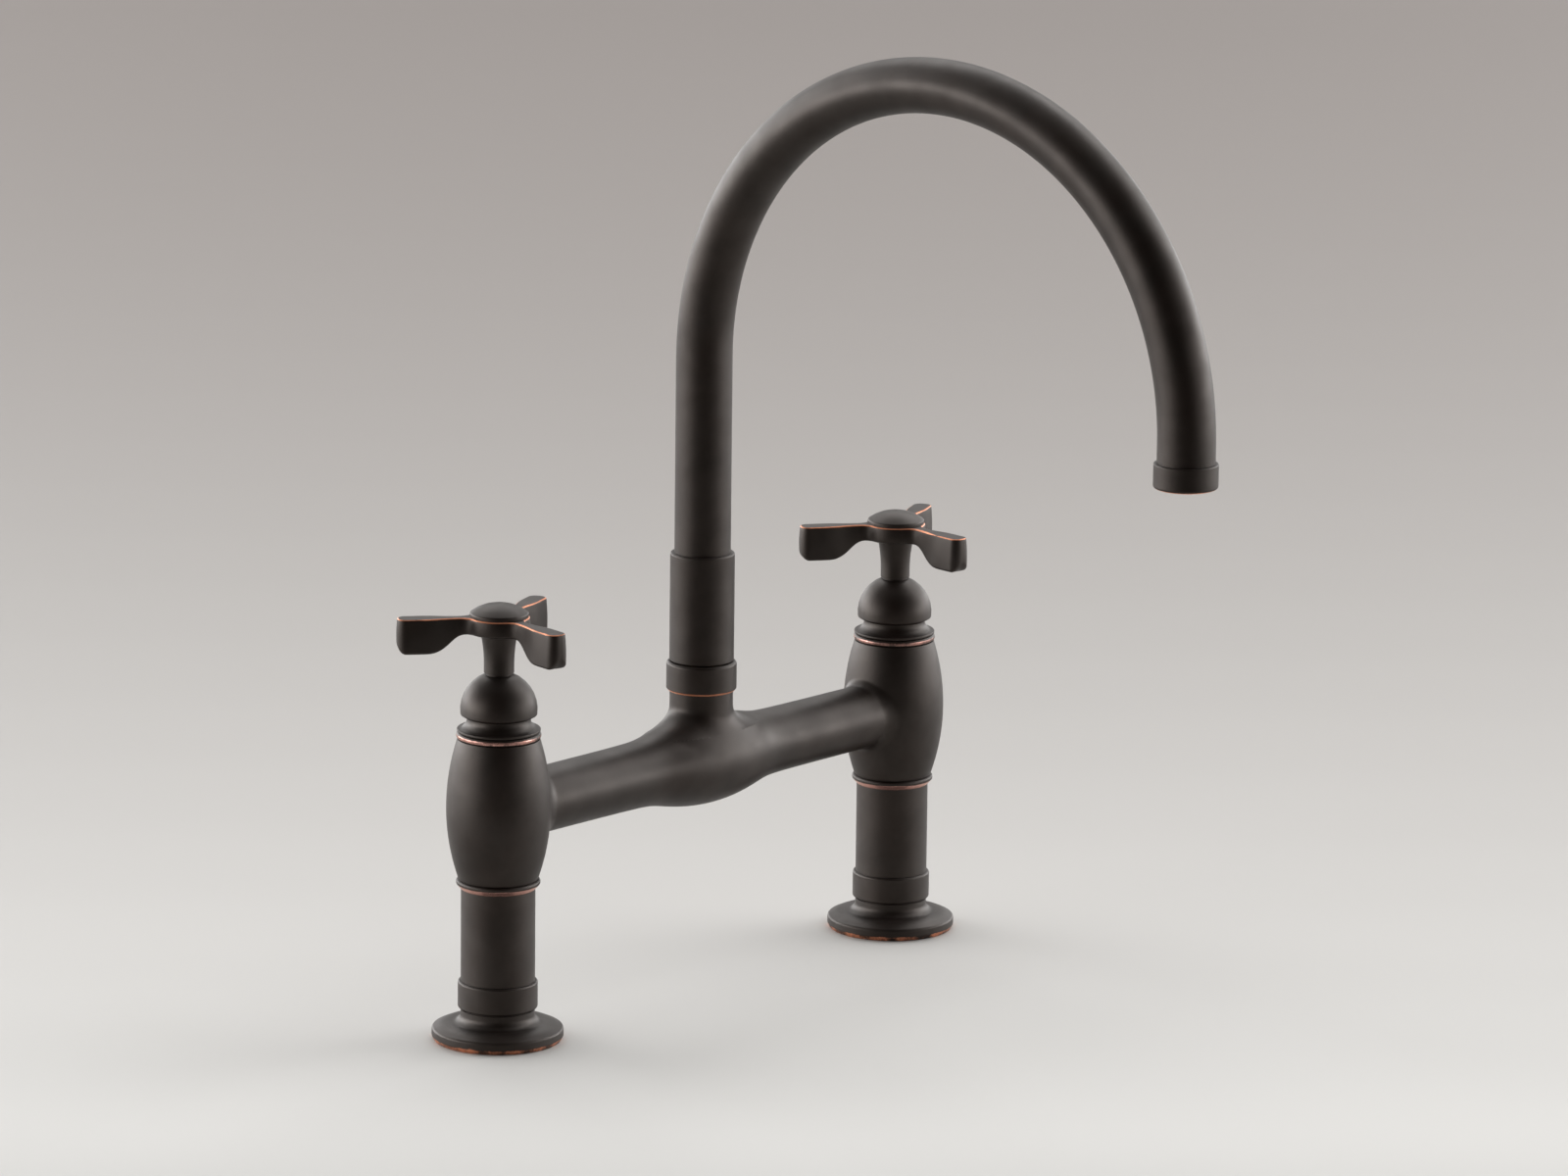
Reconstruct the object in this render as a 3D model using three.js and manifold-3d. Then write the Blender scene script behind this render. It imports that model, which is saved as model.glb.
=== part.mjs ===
// Two handle bridge kitchen faucet for a worktop, in millimetres, +Z up.
// The origin lies on the deck, midway between the two valves. The hot valve stands at -X, the cold
// valve at +X, and the spout reaches over the bowl towards -Y. Threaded shanks go down through the
// deck, so everything below z = 0 is under the worktop.
// Each valve stack is turned brass: flange, collar, leg and trim rings threaded on the shank, then a
// barrel that holds a quarter turn ceramic cartridge. The bridge plugs into both barrels, mixes the
// water and carries the spout, which swivels in its neck under a union nut.

import * as THREE from "three";
import { mergeVertices } from "three/addons/utils/BufferGeometryUtils.js";
import Module from "manifold-3d";

const wasm = await Module();
wasm.setup();

// ---- Driving dimensions ----------------------------------------------------------------------

// Layout
const VALVE_SPACING = 203.2; // between the valve axes, eight inches
const DECK_THICKNESS = 30; // worktop between the flange and the nuts
const CLEARANCE = 0.3; // gap round what passes, plugs in or turns
const SEAL_GAP = 0.15; // gap on each side of a seal in its groove

// Supply shank, a G 1/2 thread
const SHANK_RADIUS = 10.48;
const SHANK_BORE_RADIUS = 6.5;
const SHANK_BELOW_DECK = 62;
const SHANK_ENGAGEMENT = 9.5; // length screwed into the barrel

// Hardware under the deck
const CLAMP_SEAL_WIDTH = 9.5;
const CLAMP_SEAL_THICKNESS = 2;
const CLAMP_WASHER_THICKNESS = 1.5;
const NUT_WALL = 4.5; // from the thread to the middle of a flat
const NUT_HEIGHT = 10;
const NUT_SIDES = 6;

// Flange on the deck
const FLANGE_RADIUS = 22.3;
const FLANGE_EDGE_HEIGHT = 4.5;
const FLANGE_EDGE_ROUND = 1.2;
const FLANGE_EDGE_TURN = 75; // degrees of rounding from the edge on to the crown
const FLANGE_CROWN = 1.55; // rise from the edge to the foot of the cove
const FLANGE_COVE = 2.9;
const FLANGE_NECK_HEIGHT = 1.65;
const GASKET_THICKNESS = 1.5;
const GASKET_INSET = 3.6; // from the flange's edge

// Leg
const LEG_WALL = 1.77;
const LEG_LENGTH = 32.1;
const COLLAR_HEIGHT = 9.4;
const COLLAR_STEP = 0.95; // proud of the leg
const COLLAR_ROUND = 0.8;
const COLLAR_GROOVE = 0.5; // height and depth of the shadow groove under it

// Trim rings
const LOWER_RING_HEIGHT = 3.2;
const LOWER_RING_STEP = 1.65; // proud of the leg
const UPPER_RING_HEIGHT = 2.6;
const UPPER_RING_STEP = 0.4; // proud of the barrel's top

// Barrel
const BARREL_HEIGHT = 48.4;
const BARREL_BELLY_HEIGHT = 24.6; // widest point above the barrel's foot
const BARREL_FOOT_STEP = 0.85; // proud of the leg
const BARREL_SWELL = 4.2; // belly over foot
const BARREL_TOP_STEP = 0.5; // top radius over foot radius
const BRIDGE_HEIGHT = 23.4; // bridge axis above the barrel's foot
const BARREL_WEB = 4.6; // seat between the shank and the cartridge
const INLET_RADIUS = 5.5;

// Cartridge
const CARTRIDGE_RADIUS = 10.2;
const CARTRIDGE_SHOULDER_DROP = 4.3; // shoulder under the barrel's top
const CARTRIDGE_NECK_RADIUS = 7.5;
const CARTRIDGE_NECK_HEIGHT = 13; // neck above the shoulder
const CARTRIDGE_WALL = 3;
const CARTRIDGE_SEAL_THICKNESS = 1.5;
const GLAND_WALL = 1.3;
const GLAND_RISE = 5.7; // above the barrel's top, for the bonnet's thread
const DISC_THICKNESS = 3;
const DISC_PORT_RADIUS = 1.9;
const OUTLET_PORT_RADIUS = 3.4;
const SPINDLE_RADIUS = 3.7;
const SPINDLE_FOOT_RADIUS = 6;
const SPINDLE_FOOT_HEIGHT = 4;
const SPINDLE_REACH = 14.6; // above the bonnet, inside the handle
const SPINDLE_SEAL_DEPTH = 1.3; // radial depth of the seal's groove
const SPINDLE_SEAL_HEIGHT = 2;

// Bonnet
const BONNET_LIP = 0.9;
const BONNET_COVE = 3.4;
const BONNET_NECK_HEIGHT = 0.5;
const DOME_RADIUS = 13;
const DOME_EDGE_DROP = 2; // from the dome's centre down to its lower edge
const DOME_EDGE_CHAMFER = 1; // height of the chamfer on that edge
const DOME_EDGE_STEP = 0.5; // lower edge proud of the neck
const NOSE_HEIGHT = 1;
const NOSE_INSET = 0.5; // nose inside the sleeve's radius

// Handle
const LEFT_HANDLE_ANGLE = 19.5; // first prong from +X, in degrees
const RIGHT_HANDLE_ANGLE = 23.5;
const PRONG_COUNT = 3;
const PRONG_REACH = 34.7;
const PRONG_ROOT = 5.4; // where a prong starts, inside the hub
const PRONG_NECK_LENGTH = 2; // straight part outside the hub
const PRONG_NECK_WIDTH = 5;
const PRONG_TIP_WIDTH = 7;
const PRONG_TIP_ROUND = 3;
const PRONG_TIP_DEPTH = 12;
const PRONG_DROP_LEAD = 3.2; // the underside bends down this far before the flare's middle
const PRONG_DROP_END = 4.8; // and is level again this far past it
const HUB_RADIUS = 10.75;
const HUB_THICKNESS = 5.7;
const SLEEVE_LENGTH = 13.6;
const SLEEVE_WALL = 1.1; // at the foot
const SLEEVE_FLARE = 2.8;
const WEB_THICKNESS = 1.9; // over the spindle, clamped by the screw
const SCREW_RADIUS = 1.6;
const SCREW_HEAD_RADIUS = 3.2;
const SCREW_HEAD_HEIGHT = 2;
const SCREW_LENGTH = 12;
const CAP_RADIUS = 10.1;
const CAP_HEIGHT = 4;
const CAP_RIM = 0.9;
const CAP_PLUG_WALL = 1.3;
const CAP_PLUG_DEPTH = 2;

// Bridge
const BRIDGE_RADIUS = 11.3;
const BRIDGE_BELLY_STEP = 4.3; // belly over tube
const BRIDGE_BELLY_HALF_LENGTH = 26.5;
const BRIDGE_BORE_RADIUS = 6.4;
const SPIGOT_RADIUS = 8.4;
const SPIGOT_DEPTH = 6.1; // into the barrel from its belly
const SPIGOT_SEAL_DEPTH = 1.1;
const SPIGOT_SEAL_WIDTH = 1.8;
const NECK_WALL = 2.6;
const NECK_RISE = 24.5; // neck's shoulder above the bridge axis
const NECK_COVE = 12;
const NOSE_THREAD_HEIGHT = 4.4; // threaded nose above the shoulder
const NOSE_THREAD_STEP = 0.7; // nose inside the neck's radius

// Spout seat
const POST_RADIUS = 8;
const POST_WALL = 2.8;
const POST_TOP_INSET = 2; // below the sleeve's top
const POST_FLANGE_STEP = 1.9;
const POST_FLANGE_HEIGHT = 1.6;
const POST_SEAL_DEPTH = 1.1;
const POST_SEAL_HEIGHT = 1.6;
const POST_SEAL_PITCH = 6;
const SOCKET_DEPTH = 17.4; // below the neck's shoulder
const SWIVEL_WASHER_THICKNESS = 0.8;
const UNION_RADIUS_STEP = 1.2; // union nut over the neck
const UNION_HEIGHT = 10.2;
const UNION_ROUND = 0.8;

// Spout
const SPOUT_RADIUS = 9.66;
const SPOUT_WALL = 1.2;
const SPOUT_BEND_RADIUS = 105.28; // centre line, half turn
const SPOUT_STRAIGHT = 68.2; // sleeve's top up to the bend
const SPOUT_DROP = 11.4; // bend's end down to the tube's end
const SPOUT_SLEEVE_LENGTH = 37.7;
const SPOUT_SLEEVE_WALL = 1.14;
const SPOUT_SLEEVE_SHELF = 2; // under the tube
const SPOUT_SLEEVE_ROUND = 0.6;

// Outlet
const OUTLET_COLLAR_HEIGHT = 8.4;
const OUTLET_COLLAR_WALL = 0.74;
const OUTLET_LIP_HEIGHT = 2.6;
const AERATOR_HEIGHT = 9;
const AERATOR_RECESS = 0.7; // above the collar's lower edge
const AERATOR_HOLE_RADIUS = 1.2;
const AERATOR_HOLE_CIRCLE = 4.9; // radius that the holes stand on
const AERATOR_HOLE_COUNT = 6;
const AERATOR_WASHER_THICKNESS = 1.6;
const AERATOR_WASHER_WIDTH = 2;

// Facets
const ROUND_SIDES = 20; // on what shows
const SMALL_SIDES = 12; // on what is inside
const ROUND_STEPS = 2; // on a rounded edge
const CURVE_STEPS = 4; // on a cove or a belly
const DOME_STEPS = 6; // up the bonnet's dome
const BEND_STEPS = 20; // along the gooseneck

// Working allowances
const OVERSHOOT = 1; // how far a cutter runs past what it cuts
const MERGE_DISTANCE = 1e-4; // corners closer than this are one

// ---- Levels and radii that follow ------------------------------------------------------------

const LEG_RADIUS = SHANK_RADIUS + CLEARANCE + LEG_WALL;
const SHANK_HOLE = SHANK_RADIUS + CLEARANCE;

const FLANGE_SHOULDER = FLANGE_EDGE_HEIGHT + FLANGE_CROWN;
const FLANGE_TOP = FLANGE_SHOULDER + FLANGE_COVE + FLANGE_NECK_HEIGHT;
const LEG_BASE = FLANGE_TOP + COLLAR_GROOVE + COLLAR_HEIGHT;
const LOWER_RING_BASE = LEG_BASE + LEG_LENGTH;
const BARREL_BASE = LOWER_RING_BASE + LOWER_RING_HEIGHT;
const BARREL_TOP = BARREL_BASE + BARREL_HEIGHT;
const BARREL_FOOT_RADIUS = LEG_RADIUS + BARREL_FOOT_STEP;
const BARREL_BELLY_RADIUS = BARREL_FOOT_RADIUS + BARREL_SWELL;
const BARREL_TOP_RADIUS = BARREL_FOOT_RADIUS + BARREL_TOP_STEP;
const BRIDGE_AXIS = BARREL_BASE + BRIDGE_HEIGHT;
const SHANK_TOP = BARREL_BASE + SHANK_ENGAGEMENT;
const SEAT_LEVEL = SHANK_TOP + BARREL_WEB;
const CAVITY_RADIUS = CARTRIDGE_RADIUS + CLEARANCE;

const CARTRIDGE_BASE = SEAT_LEVEL + CARTRIDGE_SEAL_THICKNESS;
const CARTRIDGE_SHOULDER = BARREL_TOP - CARTRIDGE_SHOULDER_DROP;
const CARTRIDGE_TOP = CARTRIDGE_SHOULDER + CARTRIDGE_NECK_HEIGHT;
const CHAMBER_RADIUS = CARTRIDGE_RADIUS - CARTRIDGE_WALL;
const FIXED_DISC_BASE = CARTRIDGE_BASE + CLEARANCE;
const TURNING_DISC_BASE = FIXED_DISC_BASE + DISC_THICKNESS + CLEARANCE;
const SPINDLE_BASE = TURNING_DISC_BASE + DISC_THICKNESS + CLEARANCE;
const CHAMBER_TOP = SPINDLE_BASE + SPINDLE_FOOT_HEIGHT + CLEARANCE;
const SPINDLE_HOLE = SPINDLE_RADIUS + CLEARANCE;
const SPINDLE_SEAL_LEVEL = (CHAMBER_TOP + CARTRIDGE_SHOULDER) / 2;
const GLAND_HOLE = CARTRIDGE_NECK_RADIUS + CLEARANCE;
const GLAND_RADIUS = GLAND_HOLE + GLAND_WALL;
const GLAND_TOP = BARREL_TOP + GLAND_RISE;

const UPPER_RING_RADIUS = BARREL_TOP_RADIUS + UPPER_RING_STEP;
const BONNET_BASE = BARREL_TOP + UPPER_RING_HEIGHT;
const BONNET_HOLE = GLAND_RADIUS + CLEARANCE;
const BONNET_LIP_RADIUS = BARREL_TOP_RADIUS + UPPER_RING_STEP / 2;
const BONNET_NECK_RADIUS = BONNET_LIP_RADIUS - BONNET_COVE;
const BONNET_NECK_TOP = BONNET_BASE + BONNET_LIP + BONNET_COVE + BONNET_NECK_HEIGHT;
const DOME_CENTRE = BONNET_NECK_TOP + DOME_EDGE_DROP;
const SLEEVE_FOOT_RADIUS = SPINDLE_HOLE + SLEEVE_WALL;
const NOSE_RADIUS = SLEEVE_FOOT_RADIUS - NOSE_INSET;
const DOME_TOP = DOME_CENTRE + Math.sqrt(DOME_RADIUS ** 2 - SLEEVE_FOOT_RADIUS ** 2);
const BONNET_TOP = DOME_TOP + NOSE_HEIGHT;

const SLEEVE_BASE = BONNET_TOP + CLEARANCE;
const HUB_BASE = SLEEVE_BASE + SLEEVE_LENGTH;
const HUB_TOP = HUB_BASE + HUB_THICKNESS;
const SPINDLE_TOP = BONNET_TOP + SPINDLE_REACH;
const WEB_BASE = SPINDLE_TOP + CLEARANCE;
const WEB_TOP = WEB_BASE + WEB_THICKNESS;
const SCREW_HOLE = SCREW_RADIUS + CLEARANCE;
const CAP_PLUG_HOLE = SCREW_HEAD_RADIUS + CLEARANCE;
const CAP_PLUG_RADIUS = CAP_PLUG_HOLE + CAP_PLUG_WALL;
const HUB_RECESS_RADIUS = CAP_PLUG_RADIUS + CLEARANCE;

const SPIGOT_END = VALVE_SPACING / 2 - BARREL_BELLY_RADIUS + SPIGOT_DEPTH;
const SPIGOT_HOLE = SPIGOT_RADIUS + CLEARANCE;
const SPIGOT_SEAL_CENTRE = SPIGOT_END - SPIGOT_DEPTH / 2;
const SOCKET_RADIUS = POST_RADIUS + CLEARANCE;
const NECK_RADIUS = SOCKET_RADIUS + NECK_WALL;
const NECK_TOP = BRIDGE_AXIS + NECK_RISE;
const NOSE_THREAD_RADIUS = NECK_RADIUS - NOSE_THREAD_STEP;
const NOSE_THREAD_TOP = NECK_TOP + NOSE_THREAD_HEIGHT;
const SOCKET_FLOOR = NECK_TOP - SOCKET_DEPTH;

const SWIVEL_WASHER_TOP = NOSE_THREAD_TOP + SWIVEL_WASHER_THICKNESS;
const POST_FLANGE_BASE = SWIVEL_WASHER_TOP + CLEARANCE;
const POST_FLANGE_TOP = POST_FLANGE_BASE + POST_FLANGE_HEIGHT;
const UNION_RADIUS = NECK_RADIUS + UNION_RADIUS_STEP;
const UNION_HOLE = NOSE_THREAD_RADIUS + CLEARANCE;
const UNION_TOP = NECK_TOP + UNION_HEIGHT;
const POST_SEAL_LEVEL = (SOCKET_FLOOR + NECK_TOP) / 2;

const SPOUT_SLEEVE_BASE = UNION_TOP + CLEARANCE;
const SPOUT_SLEEVE_TOP = SPOUT_SLEEVE_BASE + SPOUT_SLEEVE_LENGTH;
const SPOUT_SLEEVE_HOLE = SPOUT_RADIUS + CLEARANCE;
const SPOUT_SLEEVE_RADIUS = SPOUT_SLEEVE_HOLE + SPOUT_SLEEVE_WALL;
const SPOUT_BASE = SPOUT_SLEEVE_BASE + SPOUT_SLEEVE_SHELF;
const SPOUT_BORE = SPOUT_RADIUS - SPOUT_WALL;
const SPRING_LEVEL = SPOUT_SLEEVE_TOP + SPOUT_STRAIGHT;
const SPOUT_END = SPRING_LEVEL - SPOUT_DROP;
const SPOUT_REACH = 2 * SPOUT_BEND_RADIUS;

const OUTLET_HOLE = SPOUT_RADIUS + CLEARANCE;
const OUTLET_COLLAR_RADIUS = OUTLET_HOLE + OUTLET_COLLAR_WALL;
const OUTLET_BASE = SPOUT_END - CLEARANCE - OUTLET_LIP_HEIGHT;
const AERATOR_BASE = OUTLET_BASE + AERATOR_RECESS;
const AERATOR_RADIUS = SPOUT_BORE - CLEARANCE;

// ---- Finishes --------------------------------------------------------------------------------

function finish(color, roughness, metalness) {
  return () => new THREE.MeshStandardMaterial({ color, roughness, metalness });
}

const BRONZE = finish(0x2b2420, 0.42, 0.8);
const COPPER = finish(0xac7a62, 0.38, 0.9);
const BRASS = finish(0xb58f4a, 0.35, 0.9);
const STEEL = finish(0xb9bcc0, 0.35, 0.9);
const RUBBER = finish(0x1b1b1d, 0.85, 0);
const CERAMIC = finish(0xe9e6df, 0.25, 0);
const NYLON = finish(0xd8d4c6, 0.55, 0);

// ---- Outlines --------------------------------------------------------------------------------
// An outline is a list of [radius, level] points that runs anticlockwise: up the outside of a ring
// and down its bore.

function arc(radiusAt, levelAt, radius, fromDegrees, toDegrees, steps) {
  const points = [];
  for (let i = 0; i <= steps; i++) {
    const angle = THREE.MathUtils.degToRad(THREE.MathUtils.lerp(fromDegrees, toDegrees, i / steps));
    points.push([radiusAt + radius * Math.cos(angle), levelAt + radius * Math.sin(angle)]);
  }
  return points;
}

function ring(inner, outer, base, top) {
  return [[inner, base], [outer, base], [outer, top], [inner, top]];
}

// Ring whose outside is one half round bead.
function bead(inner, outer, base, top) {
  const half = (top - base) / 2;
  const swell = arc(outer - half, base + half, half, -90, 90, 2 * ROUND_STEPS);
  return [[inner, base], ...swell, [inner, top]];
}

// Arc from a narrow end to the widest point, where it runs upright; its last point is left out.
function swellUp(narrow, narrowLevel, wide, wideLevel) {
  const rise = Math.abs(wideLevel - narrowLevel);
  const drop = wide - narrow;
  const radius = (rise ** 2 + drop ** 2) / (2 * drop);
  const points = [];
  for (let i = 0; i < CURVE_STEPS; i++) {
    const level = THREE.MathUtils.lerp(narrowLevel, wideLevel, i / CURVE_STEPS);
    points.push([wide - radius + Math.sqrt(radius ** 2 - (wideLevel - level) ** 2), level]);
  }
  return points;
}

// ---- Solids ----------------------------------------------------------------------------------

function turned(outline, sides) {
  const points = [...outline, outline[0]].map(([r, z]) => new THREE.Vector2(r, z));
  return new THREE.LatheGeometry(points, sides).rotateX(Math.PI / 2);
}

function turnedAlongX(outline, sides) {
  return turned(outline, sides).rotateY(Math.PI / 2);
}

function rod(radius, base, top, sides) {
  return turned([[0, base], [radius, base], [radius, top], [0, top]], sides);
}

function rodAlongX(radius, from, to, sides) {
  return rod(radius, from, to, sides).rotateY(Math.PI / 2);
}

// A flat shape pushed along +Z.
function pushed(shape, depth, curveSegments) {
  return new THREE.ExtrudeGeometry(shape, { depth, curveSegments, bevelEnabled: false });
}

// Closes rows of points, one row for each section, into one skin. The rows join end to end.
function skinOfLoops(rows, closedRows) {
  const sides = rows[0].length;
  const positions = rows.flat().flatMap((point) => [point.x, point.y, point.z]);
  const faces = [];
  const rowPairs = closedRows ? rows.length : rows.length - 1;
  for (let row = 0; row < rowPairs; row++) {
    const next = (row + 1) % rows.length;
    for (let side = 0; side < sides; side++) {
      const along = (side + 1) % sides;
      const [a, b] = [row * sides + side, row * sides + along];
      const [c, d] = [next * sides + along, next * sides + side];
      faces.push(a, b, c, a, c, d);
    }
  }
  if (!closedRows) {
    const last = (rows.length - 1) * sides;
    for (let side = 1; side < sides - 1; side++) {
      faces.push(0, side + 1, side, last, last + side, last + side + 1);
    }
  }
  const geometry = new THREE.BufferGeometry();
  geometry.setAttribute("position", new THREE.Float32BufferAttribute(positions, 3));
  geometry.setIndex(faces);
  return geometry;
}

// Stack of upright oval sections, each { level, alongX, alongY } with its half widths.
function ovalStack(sections, sides) {
  const rows = sections.map(({ level, alongX, alongY }) =>
    Array.from({ length: sides }, (_, i) => {
      const angle = (i / sides) * 2 * Math.PI;
      return new THREE.Vector3(alongX * Math.cos(angle), alongY * Math.sin(angle), level);
    }),
  );
  return skinOfLoops(rows, false);
}

// Tube with a bore along stations, each { point, right, out }: its centre and two unit directions
// across it, with right x out along the tube.
function pipe(stations, outer, inner, sides) {
  const loop = ({ point, right, out }, radius) =>
    Array.from({ length: sides }, (_, i) => {
      const angle = (i / sides) * 2 * Math.PI;
      return point.clone()
        .addScaledVector(right, radius * Math.cos(angle))
        .addScaledVector(out, radius * Math.sin(angle));
    });
  const outside = stations.map((station) => loop(station, outer));
  const inside = stations.map((station) => loop(station, inner)).reverse();
  return skinOfLoops([...outside, ...inside], true);
}

function solidOf(geometry) {
  const bare = geometry.clone();
  bare.deleteAttribute("normal");
  bare.deleteAttribute("uv");
  const merged = mergeVertices(bare, MERGE_DISTANCE);
  return new wasm.Manifold(new wasm.Mesh({
    numProp: 3,
    vertProperties: new Float32Array(merged.attributes.position.array),
    triVerts: new Uint32Array(merged.index.array),
  }));
}

function geometryOf(solid) {
  const mesh = solid.getMesh();
  const geometry = new THREE.BufferGeometry();
  geometry.setAttribute("position", new THREE.BufferAttribute(mesh.vertProperties, 3));
  geometry.setIndex(new THREE.BufferAttribute(mesh.triVerts, 1));
  geometry.computeVertexNormals();
  return geometry;
}

function joined(geometries) {
  return geometries.map(solidOf).reduce((sum, other) => sum.add(other));
}

function cut(geometry, cutters) {
  return geometryOf(solidOf(geometry).subtract(joined(cutters)));
}

function piece(name, geometry, material) {
  const mesh = new THREE.Mesh(geometry, material());
  mesh.name = name;
  return mesh;
}

// ---- Valve stack, each piece about its own upright axis --------------------------------------

function flangeOutline() {
  const gasketEdge = FLANGE_RADIUS - GASKET_INSET + CLEARANCE;
  const round = FLANGE_EDGE_ROUND;
  return [
    [gasketEdge, 0],
    ...arc(FLANGE_RADIUS - round, round, round, -90, 0, ROUND_STEPS),
    ...arc(FLANGE_RADIUS - round, FLANGE_EDGE_HEIGHT - round, round, 0, FLANGE_EDGE_TURN, ROUND_STEPS),
    ...arc(LEG_RADIUS + FLANGE_COVE, FLANGE_SHOULDER + FLANGE_COVE, FLANGE_COVE, 270, 180, CURVE_STEPS),
    [LEG_RADIUS, FLANGE_TOP],
    [SHANK_HOLE, FLANGE_TOP],
    [SHANK_HOLE, GASKET_THICKNESS],
    [gasketEdge, GASKET_THICKNESS],
  ];
}

function collarOutline() {
  const outer = LEG_RADIUS + COLLAR_STEP;
  const grooveTop = FLANGE_TOP + COLLAR_GROOVE;
  return [
    [SHANK_HOLE, FLANGE_TOP],
    [LEG_RADIUS - COLLAR_GROOVE, FLANGE_TOP],
    [LEG_RADIUS - COLLAR_GROOVE, grooveTop],
    [outer - COLLAR_ROUND / 2, grooveTop],
    [outer, grooveTop + COLLAR_ROUND / 2],
    ...arc(outer - COLLAR_ROUND, LEG_BASE - COLLAR_ROUND, COLLAR_ROUND, 0, 90, ROUND_STEPS),
    [SHANK_HOLE, LEG_BASE],
  ];
}

function barrelOutside() {
  const belly = BARREL_BASE + BARREL_BELLY_HEIGHT;
  return [
    ...swellUp(BARREL_FOOT_RADIUS, BARREL_BASE, BARREL_BELLY_RADIUS, belly),
    [BARREL_BELLY_RADIUS, belly],
    ...swellUp(BARREL_TOP_RADIUS, BARREL_TOP, BARREL_BELLY_RADIUS, belly).reverse(),
  ];
}

function barrelGeometry(towardsBridge) {
  const outline = [
    ...barrelOutside(),
    [CAVITY_RADIUS, BARREL_TOP],
    [CAVITY_RADIUS, SEAT_LEVEL],
    [INLET_RADIUS, SEAT_LEVEL],
    [INLET_RADIUS, SHANK_TOP],
    [SHANK_HOLE, SHANK_TOP],
    [SHANK_HOLE, BARREL_BASE],
  ];
  const port = rodAlongX(SPIGOT_HOLE, 0, BARREL_BELLY_RADIUS + CLEARANCE, ROUND_SIDES);
  port.scale(towardsBridge, 1, towardsBridge).translate(0, 0, BRIDGE_AXIS);
  return cut(turned(outline, ROUND_SIDES), [port]);
}

function nutGeometry(base, top) {
  const cornerRadius = (SHANK_RADIUS + NUT_WALL) / Math.cos(Math.PI / NUT_SIDES);
  const hole = rod(SHANK_HOLE, base - OVERSHOOT, top + OVERSHOOT, ROUND_SIDES);
  return cut(rod(cornerRadius, base, top, NUT_SIDES), [hole]);
}

function discGeometry(base, portAngle) {
  const top = base + DISC_THICKNESS;
  const ports = [0, Math.PI].map((turn) => {
    const hole = rod(DISC_PORT_RADIUS, base - OVERSHOOT, top + OVERSHOOT, SMALL_SIDES);
    return hole.translate(CHAMBER_RADIUS / 2, 0, 0).rotateZ(portAngle + turn);
  });
  return cut(rod(CHAMBER_RADIUS - CLEARANCE, base, top, SMALL_SIDES), ports);
}

function cartridgeGeometry() {
  const grooveRadius = SPINDLE_HOLE + SPINDLE_SEAL_DEPTH;
  const grooveHalf = SPINDLE_SEAL_HEIGHT / 2;
  const outline = [
    [CHAMBER_RADIUS, CARTRIDGE_BASE],
    [CARTRIDGE_RADIUS, CARTRIDGE_BASE],
    [CARTRIDGE_RADIUS, CARTRIDGE_SHOULDER],
    [CARTRIDGE_NECK_RADIUS, CARTRIDGE_SHOULDER],
    [CARTRIDGE_NECK_RADIUS, CARTRIDGE_TOP],
    [SPINDLE_HOLE, CARTRIDGE_TOP],
    [SPINDLE_HOLE, SPINDLE_SEAL_LEVEL + grooveHalf],
    [grooveRadius, SPINDLE_SEAL_LEVEL + grooveHalf],
    [grooveRadius, SPINDLE_SEAL_LEVEL - grooveHalf],
    [SPINDLE_HOLE, SPINDLE_SEAL_LEVEL - grooveHalf],
    [SPINDLE_HOLE, CHAMBER_TOP],
    [CHAMBER_RADIUS, CHAMBER_TOP],
  ];
  const ports = rodAlongX(OUTLET_PORT_RADIUS, -CAVITY_RADIUS, CAVITY_RADIUS, SMALL_SIDES);
  return cut(turned(outline, SMALL_SIDES), [ports.translate(0, 0, BRIDGE_AXIS)]);
}

function glandOutline() {
  return [
    [GLAND_HOLE, CARTRIDGE_SHOULDER],
    [CARTRIDGE_RADIUS, CARTRIDGE_SHOULDER],
    [CARTRIDGE_RADIUS, BARREL_TOP],
    [GLAND_RADIUS, BARREL_TOP],
    [GLAND_RADIUS, GLAND_TOP],
    [GLAND_HOLE, GLAND_TOP],
  ];
}

function bonnetOutline() {
  const coveLevel = BONNET_BASE + BONNET_LIP;
  const edge = THREE.MathUtils.radToDeg(Math.asin((DOME_EDGE_CHAMFER - DOME_EDGE_DROP) / DOME_RADIUS));
  const crown = THREE.MathUtils.radToDeg(Math.acos(SLEEVE_FOOT_RADIUS / DOME_RADIUS));
  const cavityTop = Math.max(GLAND_TOP, CARTRIDGE_TOP) + CLEARANCE;
  return [
    [BONNET_HOLE, BONNET_BASE],
    [BONNET_LIP_RADIUS, BONNET_BASE],
    ...arc(BONNET_LIP_RADIUS, coveLevel + BONNET_COVE, BONNET_COVE, 270, 180, CURVE_STEPS),
    [BONNET_NECK_RADIUS, BONNET_NECK_TOP],
    [BONNET_NECK_RADIUS + DOME_EDGE_STEP, BONNET_NECK_TOP],
    ...arc(0, DOME_CENTRE, DOME_RADIUS, edge, crown, DOME_STEPS),
    [NOSE_RADIUS, DOME_TOP],
    [NOSE_RADIUS, BONNET_TOP],
    [SPINDLE_HOLE, BONNET_TOP],
    [SPINDLE_HOLE, cavityTop],
    [BONNET_HOLE, cavityTop],
  ];
}

// ---- Handle ----------------------------------------------------------------------------------

// Where a prong's flare starts, its middle and its end, measured out from the handle's axis.
function flareStations() {
  const start = HUB_RADIUS + PRONG_NECK_LENGTH;
  const end = PRONG_REACH - PRONG_TIP_WIDTH;
  return { start, middle: (start + end) / 2, end };
}

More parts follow.
